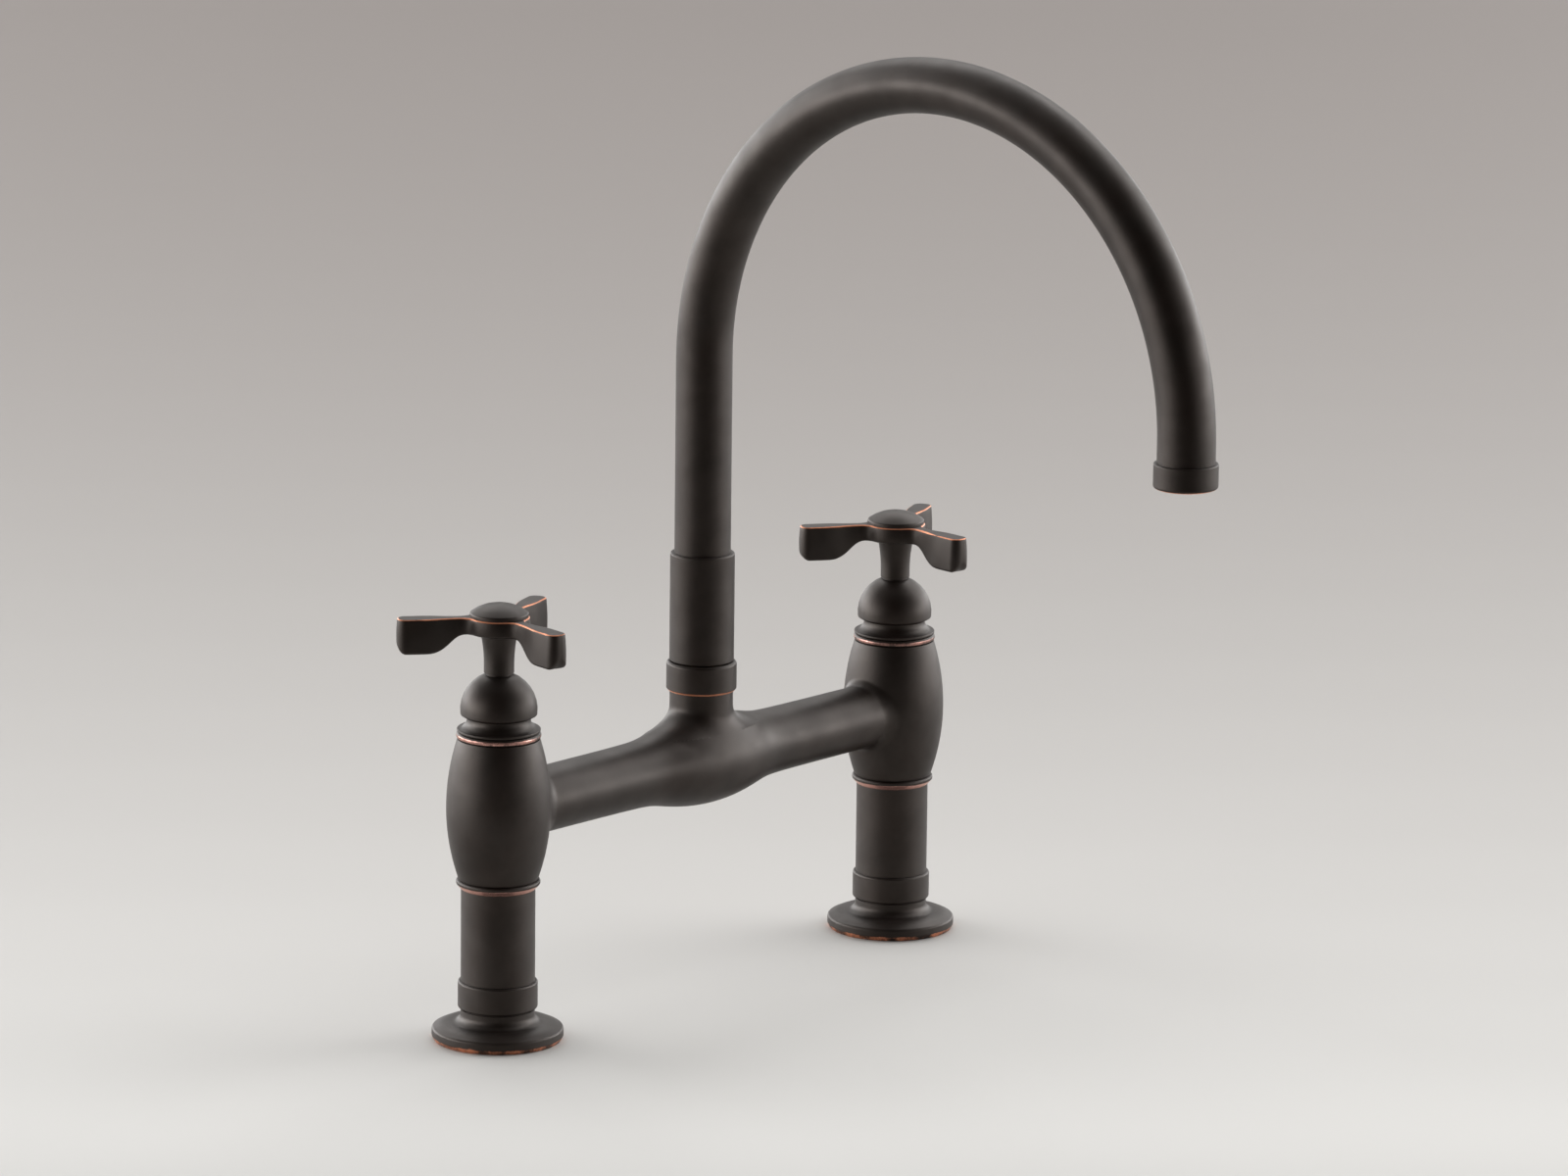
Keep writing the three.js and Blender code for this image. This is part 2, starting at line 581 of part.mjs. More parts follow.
function prongPlan() {
  const neck = PRONG_NECK_WIDTH / 2;
  const tip = PRONG_TIP_WIDTH / 2;
  const round = PRONG_TIP_ROUND;
  const { start, middle, end } = flareStations();
  const plan = new THREE.Shape();
  plan.moveTo(PRONG_ROOT, -neck);
  plan.lineTo(start, -neck);
  plan.bezierCurveTo(middle, -neck, middle, -tip, end, -tip);
  plan.absarc(PRONG_REACH - round, round - tip, round, -Math.PI / 2, 0);
  plan.absarc(PRONG_REACH - round, tip - round, round, 0, Math.PI / 2);
  plan.lineTo(end, tip);
  plan.bezierCurveTo(middle, tip, middle, neck, start, neck);
  plan.lineTo(PRONG_ROOT, neck);
  return plan;
}

// The top is flat, and the underside drops in an S curve from the hub to a deep, blunt tip.
function prongSideView() {
  const low = HUB_TOP - PRONG_TIP_DEPTH;
  const round = PRONG_TIP_ROUND;
  const { middle } = flareStations();
  const bend = middle - PRONG_DROP_LEAD;
  const side = new THREE.Shape();
  side.moveTo(0, HUB_TOP);
  side.lineTo(0, HUB_BASE);
  side.lineTo(HUB_RADIUS, HUB_BASE);
  side.bezierCurveTo(bend, HUB_BASE, bend, low, middle + PRONG_DROP_END, low);
  side.lineTo(PRONG_REACH - round, low);
  side.absarc(PRONG_REACH - round, low + round, round, -Math.PI / 2, 0);
  side.lineTo(PRONG_REACH + OVERSHOOT, low + round);
  side.lineTo(PRONG_REACH + OVERSHOOT, HUB_TOP);
  return side;
}

// One prong along +X: its plan is pushed down and trimmed by its side view.
function prongSolid() {
  const blankDepth = PRONG_TIP_DEPTH + OVERSHOOT;
  const trimWidth = PRONG_TIP_WIDTH + 2 * OVERSHOOT;
  const blank = pushed(prongPlan(), blankDepth, ROUND_STEPS);
  const trim = pushed(prongSideView(), trimWidth, CURVE_STEPS);
  blank.translate(0, 0, HUB_TOP - blankDepth);
  trim.rotateX(Math.PI / 2).translate(0, trimWidth / 2, 0);
  return solidOf(blank).intersect(solidOf(trim));
}

function handleGeometry() {
  const flareRadius = SLEEVE_FOOT_RADIUS + SLEEVE_FLARE;
  const hub = turned([
    [SPINDLE_HOLE, SLEEVE_BASE],
    [SLEEVE_FOOT_RADIUS, SLEEVE_BASE],
    ...arc(flareRadius, HUB_BASE - SLEEVE_FLARE, SLEEVE_FLARE, 180, 90, ROUND_STEPS),
    [HUB_RADIUS, HUB_BASE],
    [HUB_RADIUS, HUB_TOP],
    [HUB_RECESS_RADIUS, HUB_TOP],
    [HUB_RECESS_RADIUS, WEB_TOP],
    [SCREW_HOLE, WEB_TOP],
    [SCREW_HOLE, WEB_BASE],
    [SPINDLE_HOLE, WEB_BASE],
  ], ROUND_SIDES);
  const recess = rod(HUB_RECESS_RADIUS, WEB_TOP, HUB_TOP + OVERSHOOT, ROUND_SIDES);
  const bore = rod(SPINDLE_HOLE, SLEEVE_BASE - OVERSHOOT, WEB_BASE, ROUND_SIDES);
  const prong = prongSolid().subtract(joined([recess, bore]));
  let solid = solidOf(hub);
  for (let i = 0; i < PRONG_COUNT; i++) {
    solid = solid.add(prong.rotate([0, 0, (360 / PRONG_COUNT) * i]));
  }
  return geometryOf(solid);
}

function spindleGeometry() {
  const footTop = SPINDLE_BASE + SPINDLE_FOOT_HEIGHT;
  const threadFloor = SPINDLE_TOP - SCREW_LENGTH;
  return turned([
    [0, SPINDLE_BASE],
    [SPINDLE_FOOT_RADIUS, SPINDLE_BASE],
    [SPINDLE_FOOT_RADIUS, footTop],
    [SPINDLE_RADIUS, footTop],
    [SPINDLE_RADIUS, SPINDLE_TOP],
    [SCREW_HOLE, SPINDLE_TOP],
    [SCREW_HOLE, threadFloor],
    [0, threadFloor],
  ], SMALL_SIDES);
}

function screwOutline() {
  const tip = WEB_TOP - SCREW_LENGTH;
  const headTop = WEB_TOP + SCREW_HEAD_HEIGHT;
  return [
    [0, tip], [SCREW_RADIUS, tip], [SCREW_RADIUS, WEB_TOP],
    [SCREW_HEAD_RADIUS, WEB_TOP], [SCREW_HEAD_RADIUS, headTop], [0, headTop],
  ];
}

// Low dome with a thin upright rim and a plug that sits in the hub's recess round the screw.
function capOutline() {
  const rise = CAP_HEIGHT - CAP_RIM;
  const dome = (rise ** 2 + CAP_RADIUS ** 2) / (2 * rise);
  const edge = THREE.MathUtils.radToDeg(Math.acos(CAP_RADIUS / dome));
  const centre = HUB_TOP + CAP_HEIGHT - dome;
  return [
    [CAP_PLUG_RADIUS, HUB_TOP],
    [CAP_RADIUS, HUB_TOP],
    ...arc(0, centre, dome, edge, 90, CURVE_STEPS),
    [0, HUB_TOP + CLEARANCE],
    [CAP_PLUG_HOLE, HUB_TOP + CLEARANCE],
    [CAP_PLUG_HOLE, HUB_TOP - CAP_PLUG_DEPTH],
    [CAP_PLUG_RADIUS, HUB_TOP - CAP_PLUG_DEPTH],
  ];
}

// ---- One side of the faucet ------------------------------------------------------------------

function underDeck(side) {
  const sealBase = -DECK_THICKNESS - CLAMP_SEAL_THICKNESS;
  const washerBase = sealBase - CLAMP_WASHER_THICKNESS;
  const outer = SHANK_HOLE + CLAMP_SEAL_WIDTH;
  const seal = ring(SHANK_HOLE, outer, sealBase, -DECK_THICKNESS);
  const washer = ring(SHANK_HOLE, outer, washerBase, sealBase);
  return [
    piece(side + "_clamp_seal", turned(seal, SMALL_SIDES), RUBBER),
    piece(side + "_clamp_washer", turned(washer, SMALL_SIDES), STEEL),
    piece(side + "_mounting_nut", nutGeometry(washerBase - NUT_HEIGHT, washerBase), BRASS),
  ];
}

function leg(side) {
  const shank = ring(SHANK_BORE_RADIUS, SHANK_RADIUS, -SHANK_BELOW_DECK, SHANK_TOP);
  const gasket = ring(SHANK_HOLE, FLANGE_RADIUS - GASKET_INSET, 0, GASKET_THICKNESS);
  const tube = ring(SHANK_HOLE, LEG_RADIUS, LEG_BASE, LOWER_RING_BASE);
  const lowerRing = bead(SHANK_HOLE, LEG_RADIUS + LOWER_RING_STEP, LOWER_RING_BASE, BARREL_BASE);
  return [
    piece(side + "_shank", turned(shank, SMALL_SIDES), BRASS),
    piece(side + "_deck_gasket", turned(gasket, SMALL_SIDES), RUBBER),
    piece(side + "_deck_flange", turned(flangeOutline(), ROUND_SIDES), BRONZE),
    piece(side + "_leg_collar", turned(collarOutline(), ROUND_SIDES), BRONZE),
    piece(side + "_leg_tube", turned(tube, ROUND_SIDES), BRONZE),
    piece(side + "_lower_trim_ring", turned(lowerRing, ROUND_SIDES), COPPER),
  ];
}

function valve(side, towardsBridge) {
  const seat = ring(INLET_RADIUS, CARTRIDGE_RADIUS - CLEARANCE, SEAT_LEVEL, CARTRIDGE_BASE);
  const upperRing = bead(BONNET_HOLE, UPPER_RING_RADIUS, BARREL_TOP, BONNET_BASE);
  const halfSeal = SPINDLE_SEAL_HEIGHT / 2 - SEAL_GAP;
  const spindleSeal = ring(
    SPINDLE_RADIUS + SEAL_GAP, SPINDLE_HOLE + SPINDLE_SEAL_DEPTH - SEAL_GAP,
    SPINDLE_SEAL_LEVEL - halfSeal, SPINDLE_SEAL_LEVEL + halfSeal,
  );
  return [
    piece(side + "_valve_barrel", barrelGeometry(towardsBridge), BRONZE),
    piece(side + "_cartridge_seat_seal", turned(seat, SMALL_SIDES), RUBBER),
    piece(side + "_cartridge_body", cartridgeGeometry(), BRASS),
    piece(side + "_fixed_disc", discGeometry(FIXED_DISC_BASE, 0), CERAMIC),
    piece(side + "_turning_disc", discGeometry(TURNING_DISC_BASE, Math.PI / 2), CERAMIC),
    piece(side + "_spindle_seal", turned(spindleSeal, SMALL_SIDES), RUBBER),
    piece(side + "_gland_nut", turned(glandOutline(), SMALL_SIDES), BRASS),
    piece(side + "_upper_trim_ring", turned(upperRing, ROUND_SIDES), COPPER),
    piece(side + "_bonnet", turned(bonnetOutline(), ROUND_SIDES), BRONZE),
  ];
}

function handleParts(side, angle) {
  const group = new THREE.Group();
  group.rotation.z = THREE.MathUtils.degToRad(angle);
  group.add(
    piece(side + "_spindle", spindleGeometry(), BRASS),
    piece(side + "_handle", handleGeometry(), BRONZE),
    piece(side + "_handle_screw", turned(screwOutline(), SMALL_SIDES), STEEL),
    piece(side + "_handle_cap", turned(capOutline(), ROUND_SIDES), BRONZE),
  );
  return group;
}

function valveStack(side, direction, angle) {
  const group = new THREE.Group();
  group.position.x = (direction * VALVE_SPACING) / 2;
  group.add(...underDeck(side), ...leg(side), ...valve(side, -direction), handleParts(side, angle));
  return group;
}

// ---- Bridge ----------------------------------------------------------------------------------

// Half outline of the cross tube: a full belly in the middle that arches down to the plain tube.
function bridgeOutline() {
  const belly = BRIDGE_RADIUS + BRIDGE_BELLY_STEP;
  const reach = BRIDGE_BELLY_HALF_LENGTH;
  const end = VALVE_SPACING / 2;
  return [
    [0, -end],
    [BRIDGE_RADIUS, -end],
    ...swellUp(BRIDGE_RADIUS, -reach, belly, 0),
    [belly, 0],
    ...swellUp(BRIDGE_RADIUS, reach, belly, 0).reverse(),
    [BRIDGE_RADIUS, end],
    [0, end],
  ];
}

// The neck is round at the top and spreads along the tube in a wide cove.
function neckGeometry() {
  const cove = arc(NECK_RADIUS + NECK_COVE, NECK_TOP, NECK_COVE, 180, 270, CURVE_STEPS);
  const sections = cove.reverse().map(([spread, level]) => {
    return { level, alongX: spread, alongY: NECK_RADIUS };
  });
  sections.unshift({ level: BRIDGE_AXIS, alongX: BRIDGE_RADIUS, alongY: BRIDGE_RADIUS / 2 });
  return ovalStack(sections, ROUND_SIDES);
}

function spigotOutline() {
  const root = SPIGOT_END - SPIGOT_DEPTH - BRIDGE_RADIUS;
  const floor = SPIGOT_RADIUS - SPIGOT_SEAL_DEPTH;
  const grooveHalf = SPIGOT_SEAL_WIDTH / 2;
  return [
    [0, root],
    [SPIGOT_RADIUS, root],
    [SPIGOT_RADIUS, SPIGOT_SEAL_CENTRE - grooveHalf],
    [floor, SPIGOT_SEAL_CENTRE - grooveHalf],
    [floor, SPIGOT_SEAL_CENTRE + grooveHalf],
    [SPIGOT_RADIUS, SPIGOT_SEAL_CENTRE + grooveHalf],
    [SPIGOT_RADIUS, SPIGOT_END],
    [0, SPIGOT_END],
  ];
}

// Space that a barrel takes, with its clearance, where it stands.
function barrelSpace(direction) {
  const outside = barrelOutside().map(([radius, level]) => [radius + CLEARANCE, level]);
  const outline = [[0, BARREL_BASE], ...outside, [0, BARREL_TOP]];
  return turned(outline, ROUND_SIDES).translate((direction * VALVE_SPACING) / 2, 0, 0);
}

function bridgeGeometry() {
  const tube = turnedAlongX(bridgeOutline(), ROUND_SIDES).translate(0, 0, BRIDGE_AXIS);
  const nose = rod(NOSE_THREAD_RADIUS, NECK_TOP - OVERSHOOT, NOSE_THREAD_TOP, ROUND_SIDES);
  let solid = joined([tube, neckGeometry(), nose]);
  for (const direction of [-1, 1]) {
    const spigot = turnedAlongX(spigotOutline(), ROUND_SIDES);
    spigot.scale(direction, 1, direction).translate(0, 0, BRIDGE_AXIS);
    solid = solid.subtract(solidOf(barrelSpace(direction))).add(solidOf(spigot));
  }
  const reach = VALVE_SPACING / 2;
  const bore = rodAlongX(BRIDGE_BORE_RADIUS, -reach, reach, ROUND_SIDES).translate(0, 0, BRIDGE_AXIS);
  const socket = rod(SOCKET_RADIUS, SOCKET_FLOOR, NOSE_THREAD_TOP + OVERSHOOT, ROUND_SIDES);
  const crossing = rod(BRIDGE_BORE_RADIUS, BRIDGE_AXIS, NECK_TOP, ROUND_SIDES);
  return geometryOf(solid.subtract(joined([bore, socket, crossing])));
}

function bridgeParts() {
  const half = SPIGOT_SEAL_WIDTH / 2 - SEAL_GAP;
  const sealRing = (direction) => {
    const centre = direction * SPIGOT_SEAL_CENTRE;
    const floor = SPIGOT_RADIUS - SPIGOT_SEAL_DEPTH;
    const outline = ring(floor + SEAL_GAP, SPIGOT_RADIUS + SEAL_GAP, centre - half, centre + half);
    return turnedAlongX(outline, ROUND_SIDES).translate(0, 0, BRIDGE_AXIS);
  };
  const washer = ring(SOCKET_RADIUS, NOSE_THREAD_RADIUS, NOSE_THREAD_TOP, SWIVEL_WASHER_TOP);
  const lipBase = POST_FLANGE_TOP + CLEARANCE;
  const union = [
    [UNION_HOLE, NECK_TOP],
    [UNION_RADIUS - UNION_ROUND / 2, NECK_TOP],
    [UNION_RADIUS, NECK_TOP + UNION_ROUND / 2],
    ...arc(UNION_RADIUS - UNION_ROUND, UNION_TOP - UNION_ROUND, UNION_ROUND, 0, 90, ROUND_STEPS),
    [SOCKET_RADIUS, UNION_TOP],
    [SOCKET_RADIUS, lipBase],
    [UNION_HOLE, lipBase],
  ];
  return [
    piece("bridge", bridgeGeometry(), BRONZE),
    piece("left_bridge_seal", sealRing(-1), RUBBER),
    piece("right_bridge_seal", sealRing(1), RUBBER),
    piece("swivel_washer", turned(washer, ROUND_SIDES), NYLON),
    piece("union_nut", turned(union, ROUND_SIDES), BRONZE),
  ];
}

// ---- Spout -----------------------------------------------------------------------------------

// Post that turns in the neck: two sealed grooves, and a flange that the union nut holds down.
function postOutline() {
  const bore = POST_RADIUS - POST_WALL;
  const floor = POST_RADIUS - POST_SEAL_DEPTH;
  const flange = POST_RADIUS + POST_FLANGE_STEP;
  const half = POST_SEAL_HEIGHT / 2;
  const grooves = Object.values(sealLevels()).flatMap((level) => [
    [POST_RADIUS, level - half], [floor, level - half], [floor, level + half], [POST_RADIUS, level + half],
  ]);
  return [
    [bore, SOCKET_FLOOR + CLEARANCE],
    [POST_RADIUS, SOCKET_FLOOR + CLEARANCE],
    ...grooves,
    [POST_RADIUS, POST_FLANGE_BASE],
    [flange, POST_FLANGE_BASE],
    [flange, POST_FLANGE_TOP],
    [POST_RADIUS, POST_FLANGE_TOP],
    [POST_RADIUS, SPOUT_SLEEVE_TOP - POST_TOP_INSET],
    [bore, SPOUT_SLEEVE_TOP - POST_TOP_INSET],
  ];
}

function sealLevels() {
  return {
    lower: POST_SEAL_LEVEL - POST_SEAL_PITCH / 2,
    upper: POST_SEAL_LEVEL + POST_SEAL_PITCH / 2,
  };
}

function sleeveOutline() {
  const outer = SPOUT_SLEEVE_RADIUS;
  const round = SPOUT_SLEEVE_ROUND;
  return [
    [SOCKET_RADIUS, SPOUT_SLEEVE_BASE],
    [outer, SPOUT_SLEEVE_BASE],
    ...arc(outer - round, SPOUT_SLEEVE_TOP - round, round, 0, 90, ROUND_STEPS),
    [SPOUT_SLEEVE_HOLE, SPOUT_SLEEVE_TOP],
    [SPOUT_SLEEVE_HOLE, SPOUT_BASE],
    [SOCKET_RADIUS, SPOUT_BASE],
  ];
}

// Up the riser, over half a turn and a short way down, all in the plane x = 0.
function spoutStations() {
  const across = new THREE.Vector3(1, 0, 0);
  const station = (y, z, bend) => ({
    point: new THREE.Vector3(0, y, z),
    right: across,
    out: new THREE.Vector3(0, Math.cos(bend), Math.sin(bend)),
  });
  const stations = [station(0, SPOUT_BASE, 0)];
  for (let i = 0; i <= BEND_STEPS; i++) {
    const bend = (i / BEND_STEPS) * Math.PI;
    const y = SPOUT_BEND_RADIUS * (Math.cos(bend) - 1);
    stations.push(station(y, SPRING_LEVEL + SPOUT_BEND_RADIUS * Math.sin(bend), bend));
  }
  stations.push(station(-SPOUT_REACH, SPOUT_END, Math.PI));
  return stations;
}

function aeratorGeometry() {
  const base = AERATOR_BASE;
  const top = base + AERATOR_HEIGHT;
  const hole = rod(AERATOR_HOLE_RADIUS, base - OVERSHOOT, top + OVERSHOOT, SMALL_SIDES / 2);
  const holes = [hole];
  for (let i = 0; i < AERATOR_HOLE_COUNT; i++) {
    const turn = (i / AERATOR_HOLE_COUNT) * 2 * Math.PI;
    holes.push(hole.clone().translate(AERATOR_HOLE_CIRCLE, 0, 0).rotateZ(turn));
  }
  return cut(rod(AERATOR_RADIUS, base, top, ROUND_SIDES), holes);
}

// Collar with a chamfered lower edge, a rounded upper edge and a lip under the tube's end.
function outletOutline() {
  const outer = OUTLET_COLLAR_RADIUS;
  const round = OUTLET_COLLAR_WALL / 2;
  const top = OUTLET_BASE + OUTLET_COLLAR_HEIGHT;
  const lipTop = OUTLET_BASE + OUTLET_LIP_HEIGHT;
  return [
    [SPOUT_BORE, OUTLET_BASE],
    [outer - OUTLET_COLLAR_WALL, OUTLET_BASE],
    [outer, OUTLET_BASE + OUTLET_COLLAR_WALL],
    ...arc(outer - round, top - round, round, 0, 90, ROUND_STEPS),
    [OUTLET_HOLE, top],
    [OUTLET_HOLE, lipTop],
    [SPOUT_BORE, lipTop],
  ];
}

function outletParts() {
  const group = new THREE.Group();
  group.position.y = -SPOUT_REACH;
  const washerBase = AERATOR_BASE + AERATOR_HEIGHT;
  const washerTop = washerBase + AERATOR_WASHER_THICKNESS;
  const washer = ring(AERATOR_RADIUS - AERATOR_WASHER_WIDTH, AERATOR_RADIUS, washerBase, washerTop);
  group.add(
    piece("outlet_collar", turned(outletOutline(), ROUND_SIDES), BRONZE),
    piece("aerator", aeratorGeometry(), NYLON),
    piece("aerator_washer", turned(washer, SMALL_SIDES), RUBBER),
  );
  return group;
}

function spoutParts() {
  const floor = POST_RADIUS - POST_SEAL_DEPTH;
  const half = POST_SEAL_HEIGHT / 2 - SEAL_GAP;
  const seals = Object.entries(sealLevels()).map(([which, level]) => {
    const outline = ring(floor + SEAL_GAP, POST_RADIUS + SEAL_GAP, level - half, level + half);
    return piece(which + "_post_seal", turned(outline, ROUND_SIDES), RUBBER);
  });
  return [
    piece("swivel_post", turned(postOutline(), SMALL_SIDES), BRASS),
    ...seals,
    piece("spout_sleeve", turned(sleeveOutline(), ROUND_SIDES), BRONZE),
    piece("spout_tube", pipe(spoutStations(), SPOUT_RADIUS, SPOUT_BORE, ROUND_SIDES), BRONZE),
    outletParts(),
  ];
}

// ---- Whole faucet ----------------------------------------------------------------------------

const faucet = new THREE.Group();
faucet.add(
  valveStack("left", -1, LEFT_HANDLE_ANGLE),
  valveStack("right", 1, RIGHT_HANDLE_ANGLE),
  ...bridgeParts(),
  ...spoutParts(),
);

export default faucet;
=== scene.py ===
"""Looks of the two handle bridge faucet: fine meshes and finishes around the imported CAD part.

Lengths are in millimetres and become metres where a mesh, the camera or a lamp is made. Levels,
axes and outer radii come from the CAD nodes; what is named here is the detail between them.
"""

import functools
import math

import bpy
import numpy as np
from mathutils import Matrix, Vector
from mathutils.geometry import delaunay_2d_cdt


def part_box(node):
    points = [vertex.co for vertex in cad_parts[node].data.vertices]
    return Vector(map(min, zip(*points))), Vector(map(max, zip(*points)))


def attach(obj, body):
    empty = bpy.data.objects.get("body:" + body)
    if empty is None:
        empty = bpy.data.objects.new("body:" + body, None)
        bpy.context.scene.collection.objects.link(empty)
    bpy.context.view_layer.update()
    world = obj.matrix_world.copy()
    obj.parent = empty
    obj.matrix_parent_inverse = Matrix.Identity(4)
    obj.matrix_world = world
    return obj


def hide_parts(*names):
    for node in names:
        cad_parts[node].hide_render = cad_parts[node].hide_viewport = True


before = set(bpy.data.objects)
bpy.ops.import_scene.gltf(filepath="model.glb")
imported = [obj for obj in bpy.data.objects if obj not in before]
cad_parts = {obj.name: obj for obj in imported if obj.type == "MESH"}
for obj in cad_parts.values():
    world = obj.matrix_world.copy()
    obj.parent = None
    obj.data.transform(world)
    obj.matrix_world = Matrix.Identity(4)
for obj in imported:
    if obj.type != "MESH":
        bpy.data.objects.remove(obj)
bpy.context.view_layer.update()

MM = 0.001
SIDES = ("left", "right")

# ---- Named sizes ----

FINE_SIDES = 96  # facets round a turned piece
ARC_STEP = math.radians(11)  # facets along a rounding
SHARP_ANGLE = math.radians(38)
TRIM_LIMIT = 0.49  # share of an edge that one rounding may take
CLEARANCE = 0.3  # round what passes through
POLE_ANGLE = 89.5  # a dome's arc stops just short of the axis

# Where turned pieces are rubbed: distance in from the radius and up from the base, reach, strength
RUBBED = {
    "deck_flange": (0.2, 0.7, 1.5, 0.58),
    "lower_trim_ring": (0.85, 0.8, 1.5, 1.0),
    "upper_trim_ring": (0.0, 1.2, 0.95, 0.52),
    "union_nut": (0.3, 0.25, 0.7, 0.9),
    "outlet_collar": (0.8, 0.05, 0.9, 0.8),
}

# Flange on the deck
FLANGE_FOOT_INSET = 0.8  # the rim draws in to its foot
FLANGE_FOOT_HEIGHT = 1.5
FLANGE_FOOT_ROUND = 0.4
FLANGE_RIM_LOW = 0.9  # roundings of the rim
FLANGE_RIM_HIGH = 1.3
FLANGE_RIM_TOP = 4.2
FLANGE_CROWN_FOOT = 4.75  # level where the crown starts
FLANGE_CROWN_INSET = 1.4
FLANGE_CROWN_BOW = 0.35
FLANGE_SHOULDER = 6.05
FLANGE_COVE = 2.9
GASKET_INSET = 3.3
GASKET_RECESS = 1.5

# Collar and trim rings
COLLAR_GROOVE = 0.5
COLLAR_LOW_ROUND = 0.9
COLLAR_TOP_ROUND = 0.75
BEAD_FOOT_STEP = 0.15  # proud of the leg, where the copper face starts
BEAD_FOOT_ROUND = 0.2
BEAD_LOW = 1.7  # the copper face ends here, above the ring's base
BEAD_LOW_ROUND = 0.8
BEAD_TOP_DROP = 0.3
BEAD_TOP_ROUND = 0.7
BEAD_TOP_STEP = 0.6  # proud of the leg
UPPER_RING_DEPTH = 5.0

# Barrel
BELLY_SHARE = 0.508  # widest point, as a share of the barrel's height
BARREL_STEPS = 40
BARREL_FOOT_STEP = 0.85  # proud of the leg
BARREL_TOP_STEP = 0.5  # wider than the foot
INLET_RADIUS = 5.5

# Bonnet
LIP_HEIGHT = 0.9
LIP_ROUND = 0.4
BONNET_COVE = 3.4
BONNET_COVE_START = 262  # degrees; the cove leaves the lip with a slight slope
BONNET_NECK_TOP = 4.8  # above the bonnet's base
BONNET_WALL = 1.0
BONNET_ROOF = 3.0  # over the gland nut
DOME_CENTRE = 7.4
DOME_RADIUS = 13.0
DOME_EDGE_DROP = 1.6  # from the dome's centre down to its lower edge
DOME_EDGE_STEP = 0.5  # proud of the neck
DOME_FOOT_ROUND = 0.15
DOME_EDGE_ROUND = 0.5
NOSE_RADIUS = 4.5
NOSE_STEP = 0.5  # from the nose to the dome's top edge
NOSE_LIFT = 0.22  # brings the nose up under the handle's sleeve

# Handle
PRONG_COUNT = 3
PRONG_REACH = 34.7
PRONG_NECK = 2.5  # half width
PRONG_NECK_LENGTH = 2.0
PRONG_TIP = 3.9  # half width
PRONG_TIP_ROUND = 3.3
PRONG_DEPTH = 12.0
DROP_LEAD = 3.2  # the underside bends down this far before the flare's middle
DROP_END = 4.8  # and is level again this far past it
PRONG_FILLET = 4.0  # between hub and neck
HUB_RADIUS = 10.75
HUB_THICKNESS = 5.7
TOP_EDGE_ROUND = 0.55
LOWER_EDGE_ROUND = 1.0
SIDE_LEAN = 0.35  # the sides draw in this much from the tip's foot to the top
SIDE_BULGE = 0.22
SIDE_ROWS = (0.25, 0.5, 0.75, 0.92)  # shares of the sides' height
EDGE_STEPS = 5
TOP_ROW_INSET = 0.5  # last row on the flat top
RUBBED_SPREAD = 0.5  # less spreads the copper further over the top edge
TIP_KEEPS = 0.3  # how much less the edge is rubbed at the prongs' tips
OUTLINE_PITCH = 0.55
LID_PITCH = 1.1
LID_MARGIN = 0.7  # pitches left free along a lid's edge
SLEEVE_FOOT = 5.1
SLEEVE_FOOT_ROUND = 0.2
SLEEVE_FLARE = (0.2, 0.6, 0.8)  # start and bends of the flare, as shares of the sleeve's height
SLEEVE_FLARE_STEPS = 12
SLEEVE_HEAD = 6.1
SLEEVE_HEAD_DRAW = 0.3
SLEEVE_HEAD_STEP = 0.5  # short cone between the sleeve and the hub
SLEEVE_SINK = (0.1, 1.0)  # cone's end and sleeve's end inside the hub
HANDLE_ANGLES = {"left": 19.5, "right": 23.5}  # first prong from +X, in degrees
CAP_RADIUS = 9.9
CAP_RIM = 1.25  # height of the upright foot under the dome
CAP_RIM_ROUND = 0.8
CAP_RISE = 0.5  # how far the crown stands over the CAD cap
CAP_PLUG = (3.5, 4.8)  # bore and radius of the plug in the hub
CAP_CORE = 0.05
SPINDLE_HOLE = 4.0

# Bridge
TUBE_RADIUS = 11.3
BELLY_ARC = 82.0  # radius of the belly's outline
BELLY_BLEND = 2.0  # how softly the belly runs out on the tube
NECK_RADIUS = 10.9
NECK_COVE = 11.5  # how far the neck spreads along the tube
NECK_COVE_HEIGHT = 9.2
NECK_STRAIGHT = 4.5  # plain length of the neck under the union nut
NECK_TOP_LAP = 0.4  # how far the neck stands up in the union nut
NECK_FRONT_FILLET = 4.6
NECK_END_FILLET = 2.2
BARREL_FILLET = 3.2
SINK = 0.015  # how far a fillet's feather edge dips into what it meets
FEATHER = 0.35  # height over which it takes on the direction of what it meets
LET_IN = 1.0  # how far the bridge goes into a barrel's wall
FIELD_PITCH = 0.62
FIELD_MARGIN = 1.0
FIELD_END = 6.0  # the field ends this far from a valve's axis
EVENING = (0, 0, 0.5, 0, 0.5, 0, 0.5, 0, 0)  # share of evening out in each round of settling
LEAST_STEEPNESS = 0.05

# Union nut, sleeve and outlet
POST_HOLE = 8.3
TUBE_FIT = 0.05
UNION_BORE_STEP = 0.5  # inside the neck's radius
UNION_ROOF = 1.5
UNION_TOP_ROUND = 1.1
UNION_CHAMFER = (0.6, 0.72)  # in and up
UNION_CHAMFER_ROUNDS = (0.1, 0.4)
SPOUT_SLEEVE_SHELF = 2.0  # under the tube
SPOUT_SLEEVE_LOW_ROUND = 0.3
SPOUT_SLEEVE_TOP_ROUND = 1.1
OUTLET_LIP_HEIGHT = 2.6
OUTLET_MOUTH_ROUND = 0.3
OUTLET_LOW_ROUND = 1.15
OUTLET_TOP_ROUND = 0.9

